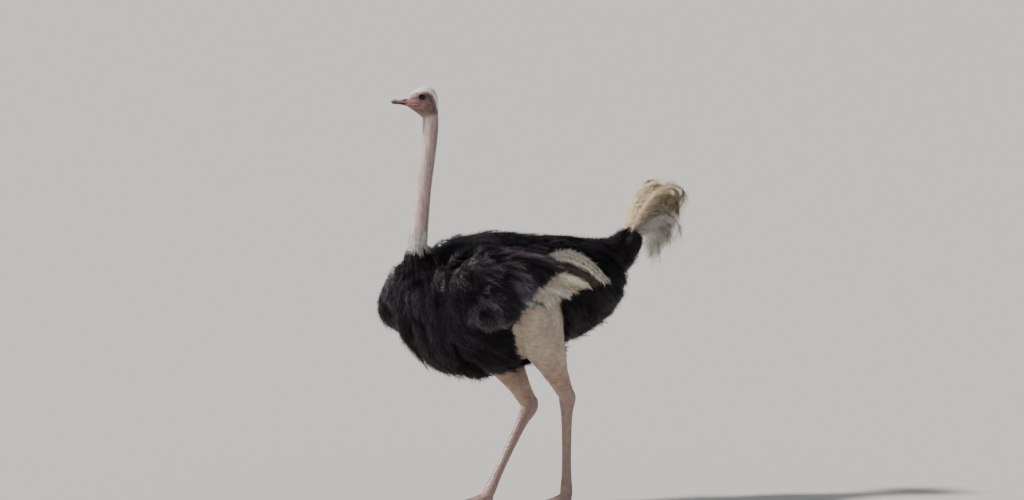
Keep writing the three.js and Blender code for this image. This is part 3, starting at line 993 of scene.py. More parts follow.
def feathered_out(coat, trail, up, half_width, hues, roots, look, rng):
    """Adds feathers to a coat: a shaft along each trail, and loose barbs on both sides of it.

    up holds the direction that each station faces, and roots each feather's place on the map.
    """
    count, stations = trail.shape[:2]
    barbs, joints, bunches = look.barbs, look.joints, look.bunches
    along = along_of(trail)
    shares = np.linspace(0, 1, stations)
    shaft = look.shaft * (1 - 0.75 * shares[:-1])
    centre = roots[:, None] + PATCH * np.stack([0 * shares, PATCH_USED * (shares - 0.5)], -1)
    shaft_hue = np.repeat(hues[:, None] * look.shaft_tone, stations, 1)
    across = unit(np.cross(up, along))[:, stations // 2]
    coat.add(trail, across, np.tile(shaft, (count, 1)), shaft_hue, centre, np.array([0.05 * PATCH, 0]), up)
    step = (np.arange(2 * barbs) // 2 + rng.random((count, 2 * barbs))) / barbs
    place = mix(look.bare, 0.985, step)
    hand = np.tile([1.0, -1.0], barbs)[None, :, None]
    base, ahead, normal = (at_shares(values, place) for values in (trail, along, up))
    outward = unit(np.cross(normal, ahead)) * hand
    bunch = np.minimum((place * bunches).astype(int), bunches - 1)

    def varied(low, high):
        """A random value for each barb, partly shared by the barbs of its bunch."""
        shared = rng.uniform(low, high, (count, 2, bunches))
        shared = shared[np.arange(count)[:, None], np.arange(2 * barbs) % 2, bunch]
        return mix(shared, rng.uniform(low, high, place.shape), look.single)

    angle = mix(look.open, 0.35, place) * varied(0.6, 1.35)
    vane = np.sin(math.pi * np.clip(0.12 + 0.86 * place, 0, 1)) ** look.blunt
    length = half_width[:, None] * vane / np.sin(angle) * varied(0.55, 1.3)
    fluff = look.fluff * varied(-0.5, 1.1)
    curl = look.curl * varied(0.2, 1.3)
    ends = np.linspace(0, 1, joints + 1)
    flat_up = normal - dot(normal, ahead) * ahead
    path = [base]
    for joint in range(joints):
        share = (joint + 0.5) / joints
        turned = angle * (1.3 - 0.75 * share)
        rise = fluff - curl * share**1.5 * 2
        heading = ahead * np.cos(turned)[..., None] + outward * np.sin(turned)[..., None]
        heading = heading * np.cos(rise)[..., None] + normal * np.sin(rise)[..., None]
        heading = heading + look.stray * rng.normal(size=heading.shape)
        heading = heading + hanging(normal) * look.droop * share
        path.append(path[-1] + unit(heading) * (length / joints)[..., None])
    path = np.stack(path, 2)
    roll = rng.uniform(-0.5, 0.5, place.shape)[..., None]
    flat = unit(np.cross(normal, path[:, :, 1] - base))
    across = unit(flat * np.cos(roll) + normal * np.sin(roll))
    lean = look.round * ends[:, None]
    facing = flat_up[..., None, :] + lean * outward[..., None, :] + 0.25 * lean * ahead[..., None, :]
    facing = facing + look.sparkle * rng.normal(size=facing.shape)
    taper = (1 - np.arange(joints) / joints) ** 0.7
    widths = look.barb_width * taper * rng.uniform(0.7, 1.3, (*place.shape, 1))
    tone = varied(0.55, 1.45)[..., None, None]
    # Painted highlight: barbs lighter, in a cool tint, towards their ends and the feather's end.
    tip_light = 1 + look.tip_light * ends[:, None] * place[..., None, None]
    # Painted light and shade: barbs that point up lighter, those that point down darker.
    tone = tone * np.maximum(1 + look.rim * outward[..., None, 2:], 0.3)
    barb_hues = hues[:, None, None] * tone * tip_light ** look.tip_tint
    spots = np.empty((*place.shape, joints + 1, 2))
    spots[..., 0] = roots[:, None, None, 0] + PATCH * PATCH_USED / 2 * hand * ends
    spots[..., 1] = (roots[:, None, 1] + PATCH * PATCH_USED * (place - 0.5))[..., None]
    path, across, widths, barb_hues, spots, facing = (
        values.reshape(-1, *values.shape[2:]) for values in (path, across, widths, barb_hues, spots, facing)
    )
    coat.add(path, across, widths, barb_hues, spots, np.array([0, 0.35 * PATCH / barbs]), facing)


BARE = 0.24  # the share of cover under which the skin counts as bare
SHORTEST = 0.22  # the share that is left of a feather that starts at bare skin
LOWEST = 4 * MM  # how near the floor a feather comes
CLEAR_FROM = 6 * MM
CLEARANCE = 12 * MM
FEATHER_STATIONS = 6


def in_the_open(place, triangle):
    """Which roots have no other part of the bird lying close over them."""
    normal = unit(at_triangles(skin_normals, triangle))
    free = [
        skin_tree.ray_cast(Vector(spot + CLEAR_FROM * away), Vector(away), CLEARANCE)[0] is None
        for spot, away in zip(place, normal)
    ]
    return np.array(free)


def kept_off_bare_skin(trail, up, cover):
    """Ends each trail soon after it meets bare skin."""
    stations = trail.shape[1]
    bare = cover[..., 1] < BARE
    first = np.where(bare.any(axis=1), bare.argmax(axis=1), stations)
    end = np.clip((first + 0.1) / (stations - 1), SHORTEST, 1)
    shares = end[:, None] * np.linspace(0, 1, stations)
    return at_shares(trail, shares), at_shares(up, shares), at_shares(cover, shares)[..., 0], end


# Where the black of a wing ends, low to high: shares of the box of that wing's white plumes.
BLACK_END = {
    "height": [-0.1, 0.24, 0.44, 0.6, 0.8, 1.1],
    "back": [-0.2, -0.16, -0.03, 0.14, 0.3, 0.35],
}


def black_end(side, points):
    """How far ahead of the end of the black of a wing each point is, in metres."""
    low, high = box_of(f"wing_plumes_{side}")
    height = (points[..., 2] - low[2]) / (high[2] - low[2])
    back = np.interp(height, BLACK_END["height"], BLACK_END["back"])
    return mix(low[1], high[1], back) - points[..., 1]


def body_coat(name, bodies, look, axis, seed, keep=None, room=None):
    """Black contour feathers over some bodies, gathered into soft locks.

    The coat's map is unwrapped about the axis. A root stays where keep says so, and a feather ends
    where room is no longer above 0.
    """
    rng = np.random.default_rng(seed)
    place, triangle = scattered(on_bodies(bodies), look.spacing, seed)
    chosen = in_the_open(place, triangle) & (at_triangles(coated, triangle) > BARE)
    if keep is not None:
        chosen &= keep(place)
    place, triangle = place[chosen], triangle[chosen]
    lock, lock_triangle = scattered(on_bodies(bodies), look.lock, seed + 3)
    mine = np.argmin(np.linalg.norm(place[:, None] - lock[None], axis=2), axis=1)
    count = len(place)
    share = np.linspace(0, 1, FEATHER_STATIONS)[None, :]
    lock_wander = rng.normal(0, look.lock_turn, len(lock)) + 0.25 * ripple(lock, 0.2, seed + 1)
    lock_length = np.full(len(lock), look.length)
    lock_trail = laid(lock, lock_triangle, lock_length, lock_wander, FEATHER_STATIONS)[0]
    lock_lift = rng.uniform(-0.45, 0.3, len(lock))
    # Painted shade and highlight: each lock is darker at random, and about a third of them much lighter.
    lock_shade_and_highlight = rng.uniform(0.4, 1.0, len(lock)) * (1 + look.bright * (rng.random(len(lock)) < 0.3))
    size = rng.uniform(0.8, 1.2, count) * (1 + 0.12 * ripple(place, 0.12, seed))
    wander = lock_wander[mine] + rng.normal(0, look.wander, count)
    trail, normals, cover = laid(place, triangle, look.length * size, wander, FEATHER_STATIONS)
    trail = mix(trail, lock_trail[mine], look.gather * share[..., None] ** 1.6)
    if room is not None:
        cover[..., 1] *= room(trail) > 0
    trail, normals, depth, end = kept_off_bare_skin(trail, normals, cover)
    off_lock = (place - lock[mine]) / look.lock
    up = unit(normals + look.lean * off_lock[:, None])
    layer = look.lift + lock_lift[mine] - 0.55 * np.linalg.norm(off_lock, axis=1) ** 2
    layer = np.clip(layer + rng.uniform(-0.2, 0.12, count), look.lowest, look.highest)[:, None]
    height = depth * layer * (0.15 + 0.85 * np.sin(np.clip(share / 0.75, 0, 1) * math.pi / 2))
    hang = look.loose * rng.uniform(0.3, 1.5, (count, 1)) * share**2 * (look.length * size * end)[:, None]
    shaft = trail + unit(up + normals) * (height + look.outward * hang)[..., None]
    shaft = shaft + hanging(up) * hang[..., None]
    shaft[:, :, 2] = np.maximum(shaft[:, :, 2], LOWEST)
    brown = look.brown * rng.random((count, 1)) ** 2
    tone = lock_shade_and_highlight[mine][:, None] * rng.uniform(0.8, 1.2, (count, 1))
    hues = mix(PLUMAGE_BLACK, PLUMAGE_BROWN, brown) * tone
    coat = Coat()
    half_width = look.half_width * size * (0.4 + 0.6 * end)
    feathered_out(coat, shaft, up, half_width, hues, unwrapped(place, axis), look, rng)
    coat.built(name, BLACK, "plumage")


BODY_LOOK = Look(
    fluff=0.35, curl=0.3, droop=0.2, open=0.9, blunt=0.5, stray=0.18, sparkle=0.12,
    tip_light=1.6, tip_tint=(0.95, 1, 1.25),
)
WING_LOOK = BODY_LOOK.but(
    barbs=42, blunt=0.38, open=1.05, fluff=0.25, brown=0.5, bright=4, tip_light=4, tip_tint=(0.96, 1, 1.15),
    spacing=23 * MM, length=0.1, half_width=31 * MM, lock=70 * MM, gather=0.1, highest=0.8, loose=0.03,
    outward=0,
)
SHOULDER_LOOK = WING_LOOK.but(
    barbs=18, spacing=15 * MM, length=0.06, half_width=18 * MM, lock=40 * MM, gather=0, wander=0.9,
    loose=0.08,
)
NECK_LOOK = BODY_LOOK.but(
    barbs=9, barb_width=1.5 * MM, spacing=9 * MM, length=0.06, half_width=9 * MM, lock=30 * MM, loose=0.05
)
TAIL_LOOK = BODY_LOOK.but(spacing=14 * MM, length=0.12, half_width=18 * MM)
BACKWARD = (0, 1, 0)
PARTING = -0.25  # where the fore and the rear part of the trunk's coat meet
SHOULDER = 0.17  # how far back the small feathers of a wing's front edge go


def trunk_quarter(fore, left):
    """A test of which roots belong to a quarter of the trunk's coat."""
    return lambda place: ((place[:, 1] < PARTING) == fore) & ((place[:, 0] > MIDDLE) == left)


for number, part in enumerate(("fore_left", "fore_right", "rear_left", "rear_right")):
    quarter = trunk_quarter("fore" in part, "left" in part)
    body_coat(f"coat_{part}", ["trunk"], BODY_LOOK, BACKWARD, 11 + number, keep=quarter)
for number, (side, wing) in enumerate(zip(SIDES, WINGS)):
    room = partial(black_end, side)
    front = box_of(wing)[0, 1]
    body_coat(
        f"coat_wing_{side}", [wing], WING_LOOK, BACKWARD, 21 + number,
        keep=lambda place: room(place) > 0, room=room,
    )
    body_coat(
        f"coat_shoulder_{side}", [wing], SHOULDER_LOOK, BACKWARD, 25 + number,
        keep=lambda place: place[:, 1] < front + SHOULDER,
    )
body_coat("coat_neck_foot", ["neck_lower"], NECK_LOOK, UP, 15)
body_coat("coat_tail", ["tail"], TAIL_LOOK, LIE["tail"], 16)

# ---- Plumes of the wings and tail.
CREAM = linear(222, 208, 176)
PALE = linear(232, 228, 222)
TAN = linear(184, 160, 128)
ASHEN = linear(244, 240, 234)
PLUME_SHADOW_BROWN = linear(74, 58, 48)
BLUISH = linear(190, 191, 192)
RING_GREY = linear(128, 118, 122)
LASH_BROWN = linear(30, 24, 22)
PLUME_STATIONS = 12
COVERT_STATIONS = 8


def smooth_trail(stations, count):
    """A smooth curve through each trail's stations (plumes, stations, 3), at more stations."""
    shares = np.linspace(0, 1, count)
    bends = stations.shape[1]
    padded = np.concatenate(
        [2 * stations[:, :1] - stations[:, 1:2], stations, 2 * stations[:, -1:] - stations[:, -2:-1]], 1
    )
    spot = np.clip(shares * (bends - 1), 0, bends - 1.0001)
    low = spot.astype(int)
    t = (spot - low)[None, :, None]
    a, b, c, d = (padded[:, low + k] for k in range(4))
    return 0.5 * (2 * b + (c - a) * t + (2 * a - 5 * b + 4 * c - d) * t**2 + (3 * b - a - 3 * c + d) * t**3)


# The fan of a wing, low to high, as shares (back, up) of the box of its white plumes.
FAN = {
    "share": [0, 0.25, 0.45, 0.65, 0.8, 1],
    "root_back": [-0.2, -0.16, -0.12, -0.03, 0.09, 0.13],
    "root_up": [0.26, 0.36, 0.48, 0.62, 0.76, 0.88],
    "tip_back": [0.02, 0.25, 0.5, 0.7, 0.84, 0.98],
    "tip_up": [0.09, 0.12, 0.26, 0.42, 0.38, 0.4],
    "arch": [0.02, 0.03, 0.05, 0.08, 0.14, 0.3],
}


def in_fan(share, name):
    return np.interp(share, FAN["share"], FAN[name])


def by_wing_plumes(side, outer, inward, back, rise):
    """Points at shares of the box of a wing's white plumes, and inward of a place to the side."""
    low, high = box_of(f"wing_plumes_{side}")
    place = mix(low, high, np.column_stack([0 * back, back, rise]))
    place[:, 0] = outer - SIDES[side] * inward
    return place


def outermost(node, side):
    """Where a wing's solid ends on its own side, along the x axis."""
    return box_of(node)[(1 + SIDES[side]) // 2, 0]


def wing_plume_trails(side, share, rng):
    """A fan of plumes at the wing's rear edge, laid over each other from below, by its solid's box."""
    outer = outermost(f"wing_plumes_{side}", side)
    shift = rng.uniform(-0.03, 0.03, (2, len(share)))
    order = (np.arange(len(share)) * 7 % 5 - 2) * 2.5 * MM - 0.006 * bump_at(share - 0.76, 0.04)
    stations = []
    for s in (0, 0.25, 0.5, 0.75, 1):
        back = mix(in_fan(share, "root_back"), in_fan(share, "tip_back") + shift[0], s)
        rise = mix(in_fan(share, "root_up"), in_fan(share, "tip_up") + shift[1], s**1.3)
        rise = rise + in_fan(share, "arch") * 4 * s * (1 - s)
        inward = 0.002 + 0.012 * s + 0.016 * share * (1 - s) + order
        stations.append(by_wing_plumes(side, outer, inward, back, rise))
    return smooth_trail(np.stack(stations, 1), PLUME_STATIONS)


def wing_plumes(side, seed):
    rng = np.random.default_rng(seed)
    share = np.concatenate([np.linspace(0, 0.66, 14), [0.74, 0.79], np.linspace(0.89, 1, 3)])
    dark = (share > 0.7) & (share < 0.8)
    trail = wing_plume_trails(side, share, rng)
    up = squared(np.tile(unit(np.array([SIDES[side], 0.05, 0.2])), (*trail.shape[:2], 1)), along_of(trail))
    # Plumes darker at random: partly their own tone, partly painted shade between them.
    hues = mix(CREAM, PALE, rng.random((len(share), 1))) * rng.uniform(0.55, 1.05, (len(share), 1))
    hues = blended(hues, (BLUISH, smoothstep(share, 0.3, 0.1)))
    # Painted shadow: brown plumes stand for the dark band under the upper plumes, and for dark gaps among
    # the lowest.
    hues[dark] = PLUME_SHADOW_BROWN
    hues[1:4:2] = PLUME_SHADOW_BROWN
    look = Look(
        barbs=190, bunches=10, single=0.45, joints=3, barb_width=1.7 * MM, fluff=0.12, curl=0.3, droop=0.25,
        open=1.05, shaft=2.2 * MM, shaft_tone=0.85, tip_light=0.1, bare=0.02, blunt=0.4, stray=0.2,
    )
    loose_look = look.but(open=1.25, stray=0.28, single=0.8, curl=0.8, fluff=0.3)
    coat = Coat()
    half_width = 0.03 * rng.uniform(0.9, 1.1, len(share)) * np.where(dark, 0.6, 1)
    half_width = half_width * np.where(share > 0.85, 0.72, 1)
    roots = unwrapped(trail[:, 0], (0, 1, 0.6))
    loose = (share > 0.85) | (share < 0.2)
    for group, group_look in ((~loose, look), (loose, loose_look)):
        own = [values[group] for values in (trail, up, half_width, hues, roots)]
        feathered_out(coat, *own, group_look, rng)
    coat.built(f"plumes_wing_{side}", WHITE, "plumes", f"wing_plumes_{side}")


def long_coverts(side, seed):
    """Lance-shaped black feathers that lie over the roots of the white plumes."""
    rng = np.random.default_rng(seed)
    outer = outermost(f"wing_{side}", side)
    count = 18
    share = np.linspace(0, 1, count)
    start_back = mix(-0.27, -0.36, share) + rng.uniform(-0.06, 0.06, count)
    start_rise = mix(0.2, 1.16, share) + rng.uniform(-0.05, 0.05, count)
    tip_rise = mix(0.12, 0.84, share**1.4) + rng.uniform(-0.05, 0.05, count)
    tip_back = np.interp(tip_rise, BLACK_END["height"], BLACK_END["back"]) + 0.05
    tip_back = tip_back + rng.uniform(-0.09, 0.03, count)
    layer = 0.009 * (np.arange(count) % 3)
    stations = []
    for s in (0, 0.35, 0.7, 1):
        rise = mix(start_rise, tip_rise, s) + 0.2 * s * (1 - s)
        inward = mix(0.024, 0.032, s) - 0.03 * s * (1 - s) + layer
        back = mix(start_back, tip_back, s)
        stations.append(by_wing_plumes(side, outer, inward, back, rise))
    trail = smooth_trail(np.stack(stations, 1), COVERT_STATIONS)
    up = np.tile(np.array([SIDES[side], 0.0, 0.25]), (count, COVERT_STATIONS, 1))
    reach = np.linspace(0.12, 0.03, COVERT_STATIONS)
    for index in np.ndindex(count, COVERT_STATIONS):
        spot = Vector(trail[index])
        place, normal, _, distance = OUTER_TREE.find_nearest(spot)
        if distance < reach[index[1]] and (spot - place).dot(normal) > 0:
            trail[index] = place + normal * MM
            up[index] = mix(up[index], np.array(normal), 0.7)
    trail[:, 1:-1] = (trail[:, :-2] + 2 * trail[:, 1:-1] + trail[:, 2:]) / 4
    up = squared(up, along_of(trail))
    hues = mix(PLUMAGE_BLACK, PLUMAGE_BROWN, 0.6 * rng.random((count, 1)) ** 2)
    look = Look(
        barbs=110, bunches=7, round=1.2, joints=3, barb_width=1.9 * MM, fluff=0.1, droop=0.1, open=0.6,
        blunt=0.4, tip_light=11, tip_tint=(0.98, 1, 1.05), sparkle=0.08, shaft=2 * MM, shaft_tone=3,
        stray=0.06, rim=1.6,
    )
    coat = Coat()
    half_width = rng.uniform(0.023, 0.03, count)
    feathered_out(coat, trail, up, half_width, hues, unwrapped(trail[:, 0], BACKWARD), look, rng)
    coat.built(f"coat_coverts_{side}", BLACK, "plumage")


# The sweep of the tail's plumes, from the uppermost down: (back, up) of the crest and of the tip.
TAIL_CRESTS = np.array([[0.185, 0.3], [0.225, 0.215], [0.2, 0.12], [0.13, 0.05]])
TAIL_COUNTS = (24, 52)  # of the upper plumes, and of all
TAIL_ROOT = (0.305, 0.06)  # ahead of the rear end and above the foot of the plumes' solid
TAIL_TIPS = np.array([[0.265, 0.245], [0.285, 0.155], [0.27, 0.05], [0.16, -0.075]])


def tail_plumes(seed):
    rng = np.random.default_rng(seed)
    low, high = box_of("tail_plumes")
    upper, count = TAIL_COUNTS
    tier = np.concatenate([rng.uniform(0, 0.9, upper), rng.uniform(1.6, 3, count - upper)])
    lower = np.minimum(tier.astype(int), 2)
    part = (tier - lower)[:, None]
    crest = mix(TAIL_CRESTS[lower], TAIL_CRESTS[lower + 1], part) * rng.uniform(0.86, 1.03, (count, 1))
    tip = mix(TAIL_TIPS[lower], TAIL_TIPS[lower + 1], part) * rng.uniform(0.86, 1.04, (count, 1))
    fan = np.radians(rng.uniform(-24, 24, count))
    root = [MIDDLE, high[1] - TAIL_ROOT[0], low[2] + TAIL_ROOT[1]]
    stations = []
    for back, rise in (
        (0 * crest).T,
        (crest * [0.26, 0.5]).T,
        (crest * [0.62, 0.88]).T,
        crest.T,
        mix(crest, tip, [0.75, 0.5]).T,
        (mix(crest, tip, 0.85)[:, 0], tip[:, 1]),
    ):
        aside = np.sin(fan) * (0.05 + 0.7 * np.hypot(back, rise))
        stations.append(root + np.column_stack([aside, back, np.cos(fan) * rise]))
    trail = smooth_trail(np.stack(stations, 1), PLUME_STATIONS)
    across = np.stack([np.cos(fan), 0 * fan, -np.sin(fan)], 1)[:, None]
    up = unit(np.cross(np.broadcast_to(across, trail.shape), along_of(trail)))
    # Plumes darker at random: partly their own tone, partly painted shade between them.
    hues = mix(CREAM, TAN, rng.random((count, 1)) ** 1.2) * rng.uniform(0.45, 1.2, (count, 1))
    hues = blended(hues, (ASHEN, (tier > 1) * rng.uniform(0.7, 1, count)))
    look = Look(
        barbs=170, bunches=9, single=0.3, joints=3, barb_width=1.5 * MM, fluff=0.1, curl=0.9, droop=0.2,
        open=0.8, blunt=0.35, shaft=2 * MM, shaft_tone=0.85, tip_light=0.2, bare=0.1, stray=0.15, rim=0.4,
    )
    coat = Coat()
    half_width = rng.uniform(0.034, 0.052, count) * np.where(tier > 1, 1.2, 1)
    feathered_out(coat, trail, up, half_width, hues, unwrapped(trail[:, 0], (1, 0, 0)), look, rng)
    coat.built("plumes_tail", WHITE, "plumes", "tail_plumes")


for number, side in enumerate(SIDES):
    wing_plumes(side, 31 + number)
    long_coverts(side, 41 + number)
tail_plumes(51)


# ---- Down and bristles: single fine strands.
STRAND_MAP = PATCH * np.array([[0, -0.45], [0, 0], [0, 0.45]])
STRAND_HALF = np.array([0.4 * PATCH, 0])
EMBEDDED = 0.4 * MM  # how deep a strand starts in the skin


def strands(coat, place, triangle, length, width, lift, hues, rng, stray=0.3):
    """Adds short strands that rise from the skin and bend over along the coat's lie."""
    count = len(place)
    normal = unit(at_triangles(skin_normals, triangle))
    lie = unit(at_triangles(skin_lie, triangle))
    heading = unit(lie + lift * normal + stray * rng.normal(size=(count, 3)))
    bent = unit(heading + 0.7 * lie - 0.15 * UP)
    size = (length * rng.uniform(0.6, 1.3, count))[:, None]
    start = place - EMBEDDED * normal
    path = np.stack([start, start + heading * size / 2, start + (heading + bent) * size / 2], 1)
    roll = rng.uniform(-1, 1, (count, 1))
    across = unit(np.cross(normal, heading) + roll * normal)
    widths = np.tile(width * np.array([1, 0.7]), (count, 1))
    hues, facing = (np.repeat(values[:, None], 3, 1) for values in (hues, normal))
    centre = unwrapped(place, UP)[:, None] + STRAND_MAP
    coat.add(path, across, widths, hues, centre, STRAND_HALF, facing)


def neck_down(seed):
    rng = np.random.default_rng(seed)
    place, triangle = scattered(on_bodies([*BARE_NECK, "head"]), 3.2 * MM, seed)
    kept = rng.random(len(place)) < smoothstep(to_head(place)[:, 2], -72, -118)
    place, triangle = place[kept], triangle[kept]
    hues = mix(PALE, NECK_SKIN, rng.random((len(place), 1)))
    coat = Coat()
    strands(coat, place, triangle, 9 * MM, 0.55 * MM, 0.45, hues, rng)
    coat.built("down_neck", DOWN, "skin")


def head_down(seed):
    rng = np.random.default_rng(seed)
    place, triangle = scattered(on_bodies(["head"]), 1.5 * MM, seed)
    local = to_head(place)
    hues = head_hues(place)
    pale = hues.mean(axis=1) / CROWN.mean()
    on_crown = smoothstep(pale, 0.75, 0.97)
    face = smoothstep(local[:, 1], -60, -34) * smoothstep(eye_round(local), 1.7, 2.4)
    kept = rng.random(len(place)) < 0.12 + 0.88 * on_crown
    kept &= (face > rng.random(len(place))) & (eye_round(local) > 1.6)
    coat = Coat()
    length = mix(3.5, 8.5, on_crown[kept]) * MM
    hues = mix(hues, PALE, (0.5 * on_crown)[:, None])[kept] * rng.uniform(0.7, 1.1, (kept.sum(), 1))
    strands(coat, place[kept], triangle[kept], length, 0.5 * MM, 0.5, hues, rng, 0.4)
    coat.built("down_head", DOWN, "skin")


def white_ring(seed):
    """The ragged white ring of small feathers between the bare neck and the black of the breast."""
    rng = np.random.default_rng(seed)
    place, triangle = scattered(on_bodies(NECK[:2]), 5 * MM, seed)
    top = box_of("neck_lower")[1, 2]
    height = place[:, 2] - top + 0.012 * ripple(place * [1, 1, 0.4], 0.05, seed)
    wanted = smoothstep(height, -0.015, 0.01) * smoothstep(height, 0.125, 0.05)
    kept = rng.random(len(place)) < 0.9 * wanted
    place, triangle = place[kept], triangle[kept]
    count = len(place)
    length = rng.uniform(0.022, 0.048, count)
    trail, up, cover = laid(place, triangle, length, rng.normal(0, 0.12, count), 4)
    share = np.linspace(0, 1, 4)[None, :, None]
    trail = trail + up * (0.001 + (cover[..., :1] * rng.uniform(0.3, 0.75, (count, 1, 1))) * share)
    hues = mix(PALE, RING_GREY, rng.random((count, 1)) ** 1.4)
    dark = rng.random(count) < 0.55 * smoothstep(height[kept], 0.045, -0.01)
    hues[dark] = 2 * PLUMAGE_BLACK
    look = Look(barbs=5, barb_width=1 * MM, fluff=0.15, droop=0.1, open=0.45, shaft=1 * MM, stray=0.12)
    coat = Coat()
    feathered_out(coat, trail, up, np.full(count, 4 * MM), hues, unwrapped(place, (0, 0, 1)), look, rng)
    coat.built("ring_neck", WHITE, "plumes")


LASH_ROWS = ((18, 162, 60, 11), (200, 335, 26, 4))  # from and to, in degrees; how many; length
LASH_MIDDLE = 28  # the middle of the ball that the lashes stand on, in millimetres to the side
LASH_RADIUS = 20.8  # and its radius


def lashes(side, seed):
    """Long dark lashes along the upper lid, and short ones along the lower."""
    rng = np.random.default_rng(seed)
    sign = SIDES[side]
    coat = Coat()
    for low, high, count, length in LASH_ROWS:
        angle = np.radians(np.linspace(low, high, count) + rng.uniform(-2, 2, count))
        ring = rng.uniform(1.03, 1.12, count)
        back = EYE_OPENING[0] * ring * np.cos(angle)
        height = EYE_OPENING[1] * ring * np.sin(angle)
        slanted = (
            back * math.cos(EYE_SLANT) + height * math.sin(EYE_SLANT),
            height * math.cos(EYE_SLANT) - back * math.sin(EYE_SLANT),
        )
        flat = np.hypot(*slanted)
        aside = LASH_MIDDLE + np.sqrt(np.maximum(LASH_RADIUS**2 - flat**2, 30))
        base = np.column_stack([aside, *slanted])
        outward = unit(base - [LASH_MIDDLE, 0, 0])
        size = length * rng.uniform(0.7, 1.15, (count, 1))
        heading = unit(outward + [0.9, 0.25, 0.1] + 0.12 * rng.normal(size=(count, 3)))
        bent = unit(heading + [0.3, 0.3, 0.75 * np.sign(np.sin(math.radians(low))) * -0.6])
        path = np.stack([base, base + heading * size / 2, base + (heading + bent) * size / 2], 1)
        path[..., 0] *= sign
        path = from_head(path.reshape(-1, 3)).reshape(path.shape)
        across = unit(np.cross(path[:, 1] - path[:, 0], UP))
        spots = np.column_stack([np.linspace(0.05, 0.95, count), np.full(count, low / 360)])
        centre = spots[:, None] + STRAND_MAP
        dark = np.tile(LASH_BROWN, (count, 3, 1))
        width = np.tile([0.6 * MM, 0.4 * MM], (count, 1))
        facing = np.repeat(np.cross(path[:, 1] - path[:, 0], across)[:, None], 3, 1)
        coat.add(path, across, width, dark, centre, STRAND_HALF, facing)
    coat.built(f"lashes_{side}", BLACK, "plumage")


neck_down(61)
head_down(62)
white_ring(63)
for number, side in enumerate(SIDES):
    lashes(side, 71 + number)


# ============================================================ eyes, bill and claws
PUPIL = np.full(3, 0.003)
PUPIL_EDGE = (0.36, 0.42)  # angles off the gaze, in radians
IRIS_EDGE = (0.72, 0.8)


def eye_finish():
    finish = Finish("eye", Roughness=0.08, Specular_IOR_Level=0.22)
    ring = finish.attribute("Ring")
    streak = finish.noise(900, 3)
    iris = finish.mixed(linear(26, 15, 10), linear(62, 38, 24), streak)
    hue = finish.mixed(iris, linear(40, 32, 28), ring.between(*IRIS_EDGE))
    finish.surface(Base_Color=finish.mixed(PUPIL, hue, ring.between(*PUPIL_EDGE)))
    return finish.material


EYE_FINISH = eye_finish()


CORNEA_RISE = 0.05  # in shares of the eye's radius
CORNEA_WIDTH = 0.5  # in radians off the gaze
GAZE_AHEAD = 0.12


def eyeball(side):
    """A ball whose pole looks out of the head, with a slightly raised cornea."""
    shape = bmesh.new()
    bmesh.ops.create_uvsphere(shape, u_segments=56, v_segments=40, radius=EYE_RADIUS)
    gaze = unit(HEAD_SIDE * SIDES[side] - GAZE_AHEAD * HEAD_BACK)
    turn = Vector(UP).rotation_difference(Vector(gaze)).to_matrix()
    bmesh.ops.rotate(shape, cent=(0, 0, 0), matrix=turn, verts=shape.verts)
    ring = []
    for vertex in shape.verts:
        angle = vertex.co.angle(Vector(gaze))
        ring.append(angle)
        vertex.co *= 1 + CORNEA_RISE * math.exp(-((angle / CORNEA_WIDTH) ** 2))
    bmesh.ops.translate(shape, vec=Vector(EYE_PLACE[side]), verts=shape.verts)
    name = f"eyeball_{side}"
    mesh = mesh_of(shape, name)
    give(mesh, "Ring", np.array(ring))
    finished(name, mesh, EYE_FINISH, "eye", f"eye_{side}")


def bill(node, sense):
    """Half of the bill: the solid rounded off, with its nail raised and its edges eased."""
    mesh = rounded(merged_copy([node]), 2, swell=0.3 * MM, voxel=0.9 * MM)
    points, triangles, edges = points_of(mesh), triangles_of(mesh), edges_of(mesh)
    points = spread(points, edges, 2)
    local = to_head(points)
    back, height = local[:, 1], local[:, 2]
    normals = normals_of(points, triangles)
    nail = smoothstep(back, -117, -119.5) * smoothstep(np.abs(local[:, 0]), 14, 10)
    groove = bump_at(height + 21 + 0.1 * (back + 108), 1.2) * bump_at(back + 104, 18) * (sense > 0)
    edge = beyond_bill_edge(points) + 1.2 * ripple(local, 9, 19)
    under = smoothstep(edge, -1, 5)
    nostril = bump_at(distance_to_path(local[:, 1:], NOSTRIL), 2) * (sense > 0) * (np.abs(local[:, 0]) > 4)
    relief = 0.55 * nail - 0.8 * groove - 1.6 * under - 1.1 * nostril
    points = points + normals * (relief * MM)[:, None]
    mesh.vertices.foreach_set("co", points.ravel())
    # Painted shade in and round the nostril.
    nostril_shade = 0.8 * bump_at(distance_to_path(local[:, 1:], NOSTRIL), 3.6) * (sense > 0)
    hue = blended(
        bill_side_hue(height if sense > 0 else -height - 60),
        (FACE_DARK, 0.5 * smoothstep(height, -22, -28) * smoothstep(height, -41, -37)),
        (NAIL, np.maximum(nail, smoothstep(back, -108, -122))),
        (FACE_DARK, np.clip(0.8 * groove + 1.6 * nostril + nostril_shade, 0, 1)),
    )
    give(mesh, "Hue", hue, "FLOAT_COLOR")
    finished(f"horn_{node}", mesh, BILL_FINISH, "horn", node)


def claw(side):
    node = f"claw_{side}"
    mesh = rounded(merged_copy([node]), 2, swell=0.3 * MM, voxel=1.3 * MM)
    points = spread(points_of(mesh), edges_of(mesh), 2)
    points[:, 2] = np.maximum(points[:, 2], 0)
    mesh.vertices.foreach_set("co", points.ravel())
    low, high = box_of(node)[:, 1]
    hue = blended(plain(CLAW_ROOT, points), (CLAW_TIP, smoothstep(points[:, 1], high - 0.02, low)))
    give(mesh, "Hue", hue, "FLOAT_COLOR")
    finished(f"horn_{node}", mesh, CLAW_FINISH, "horn", node)


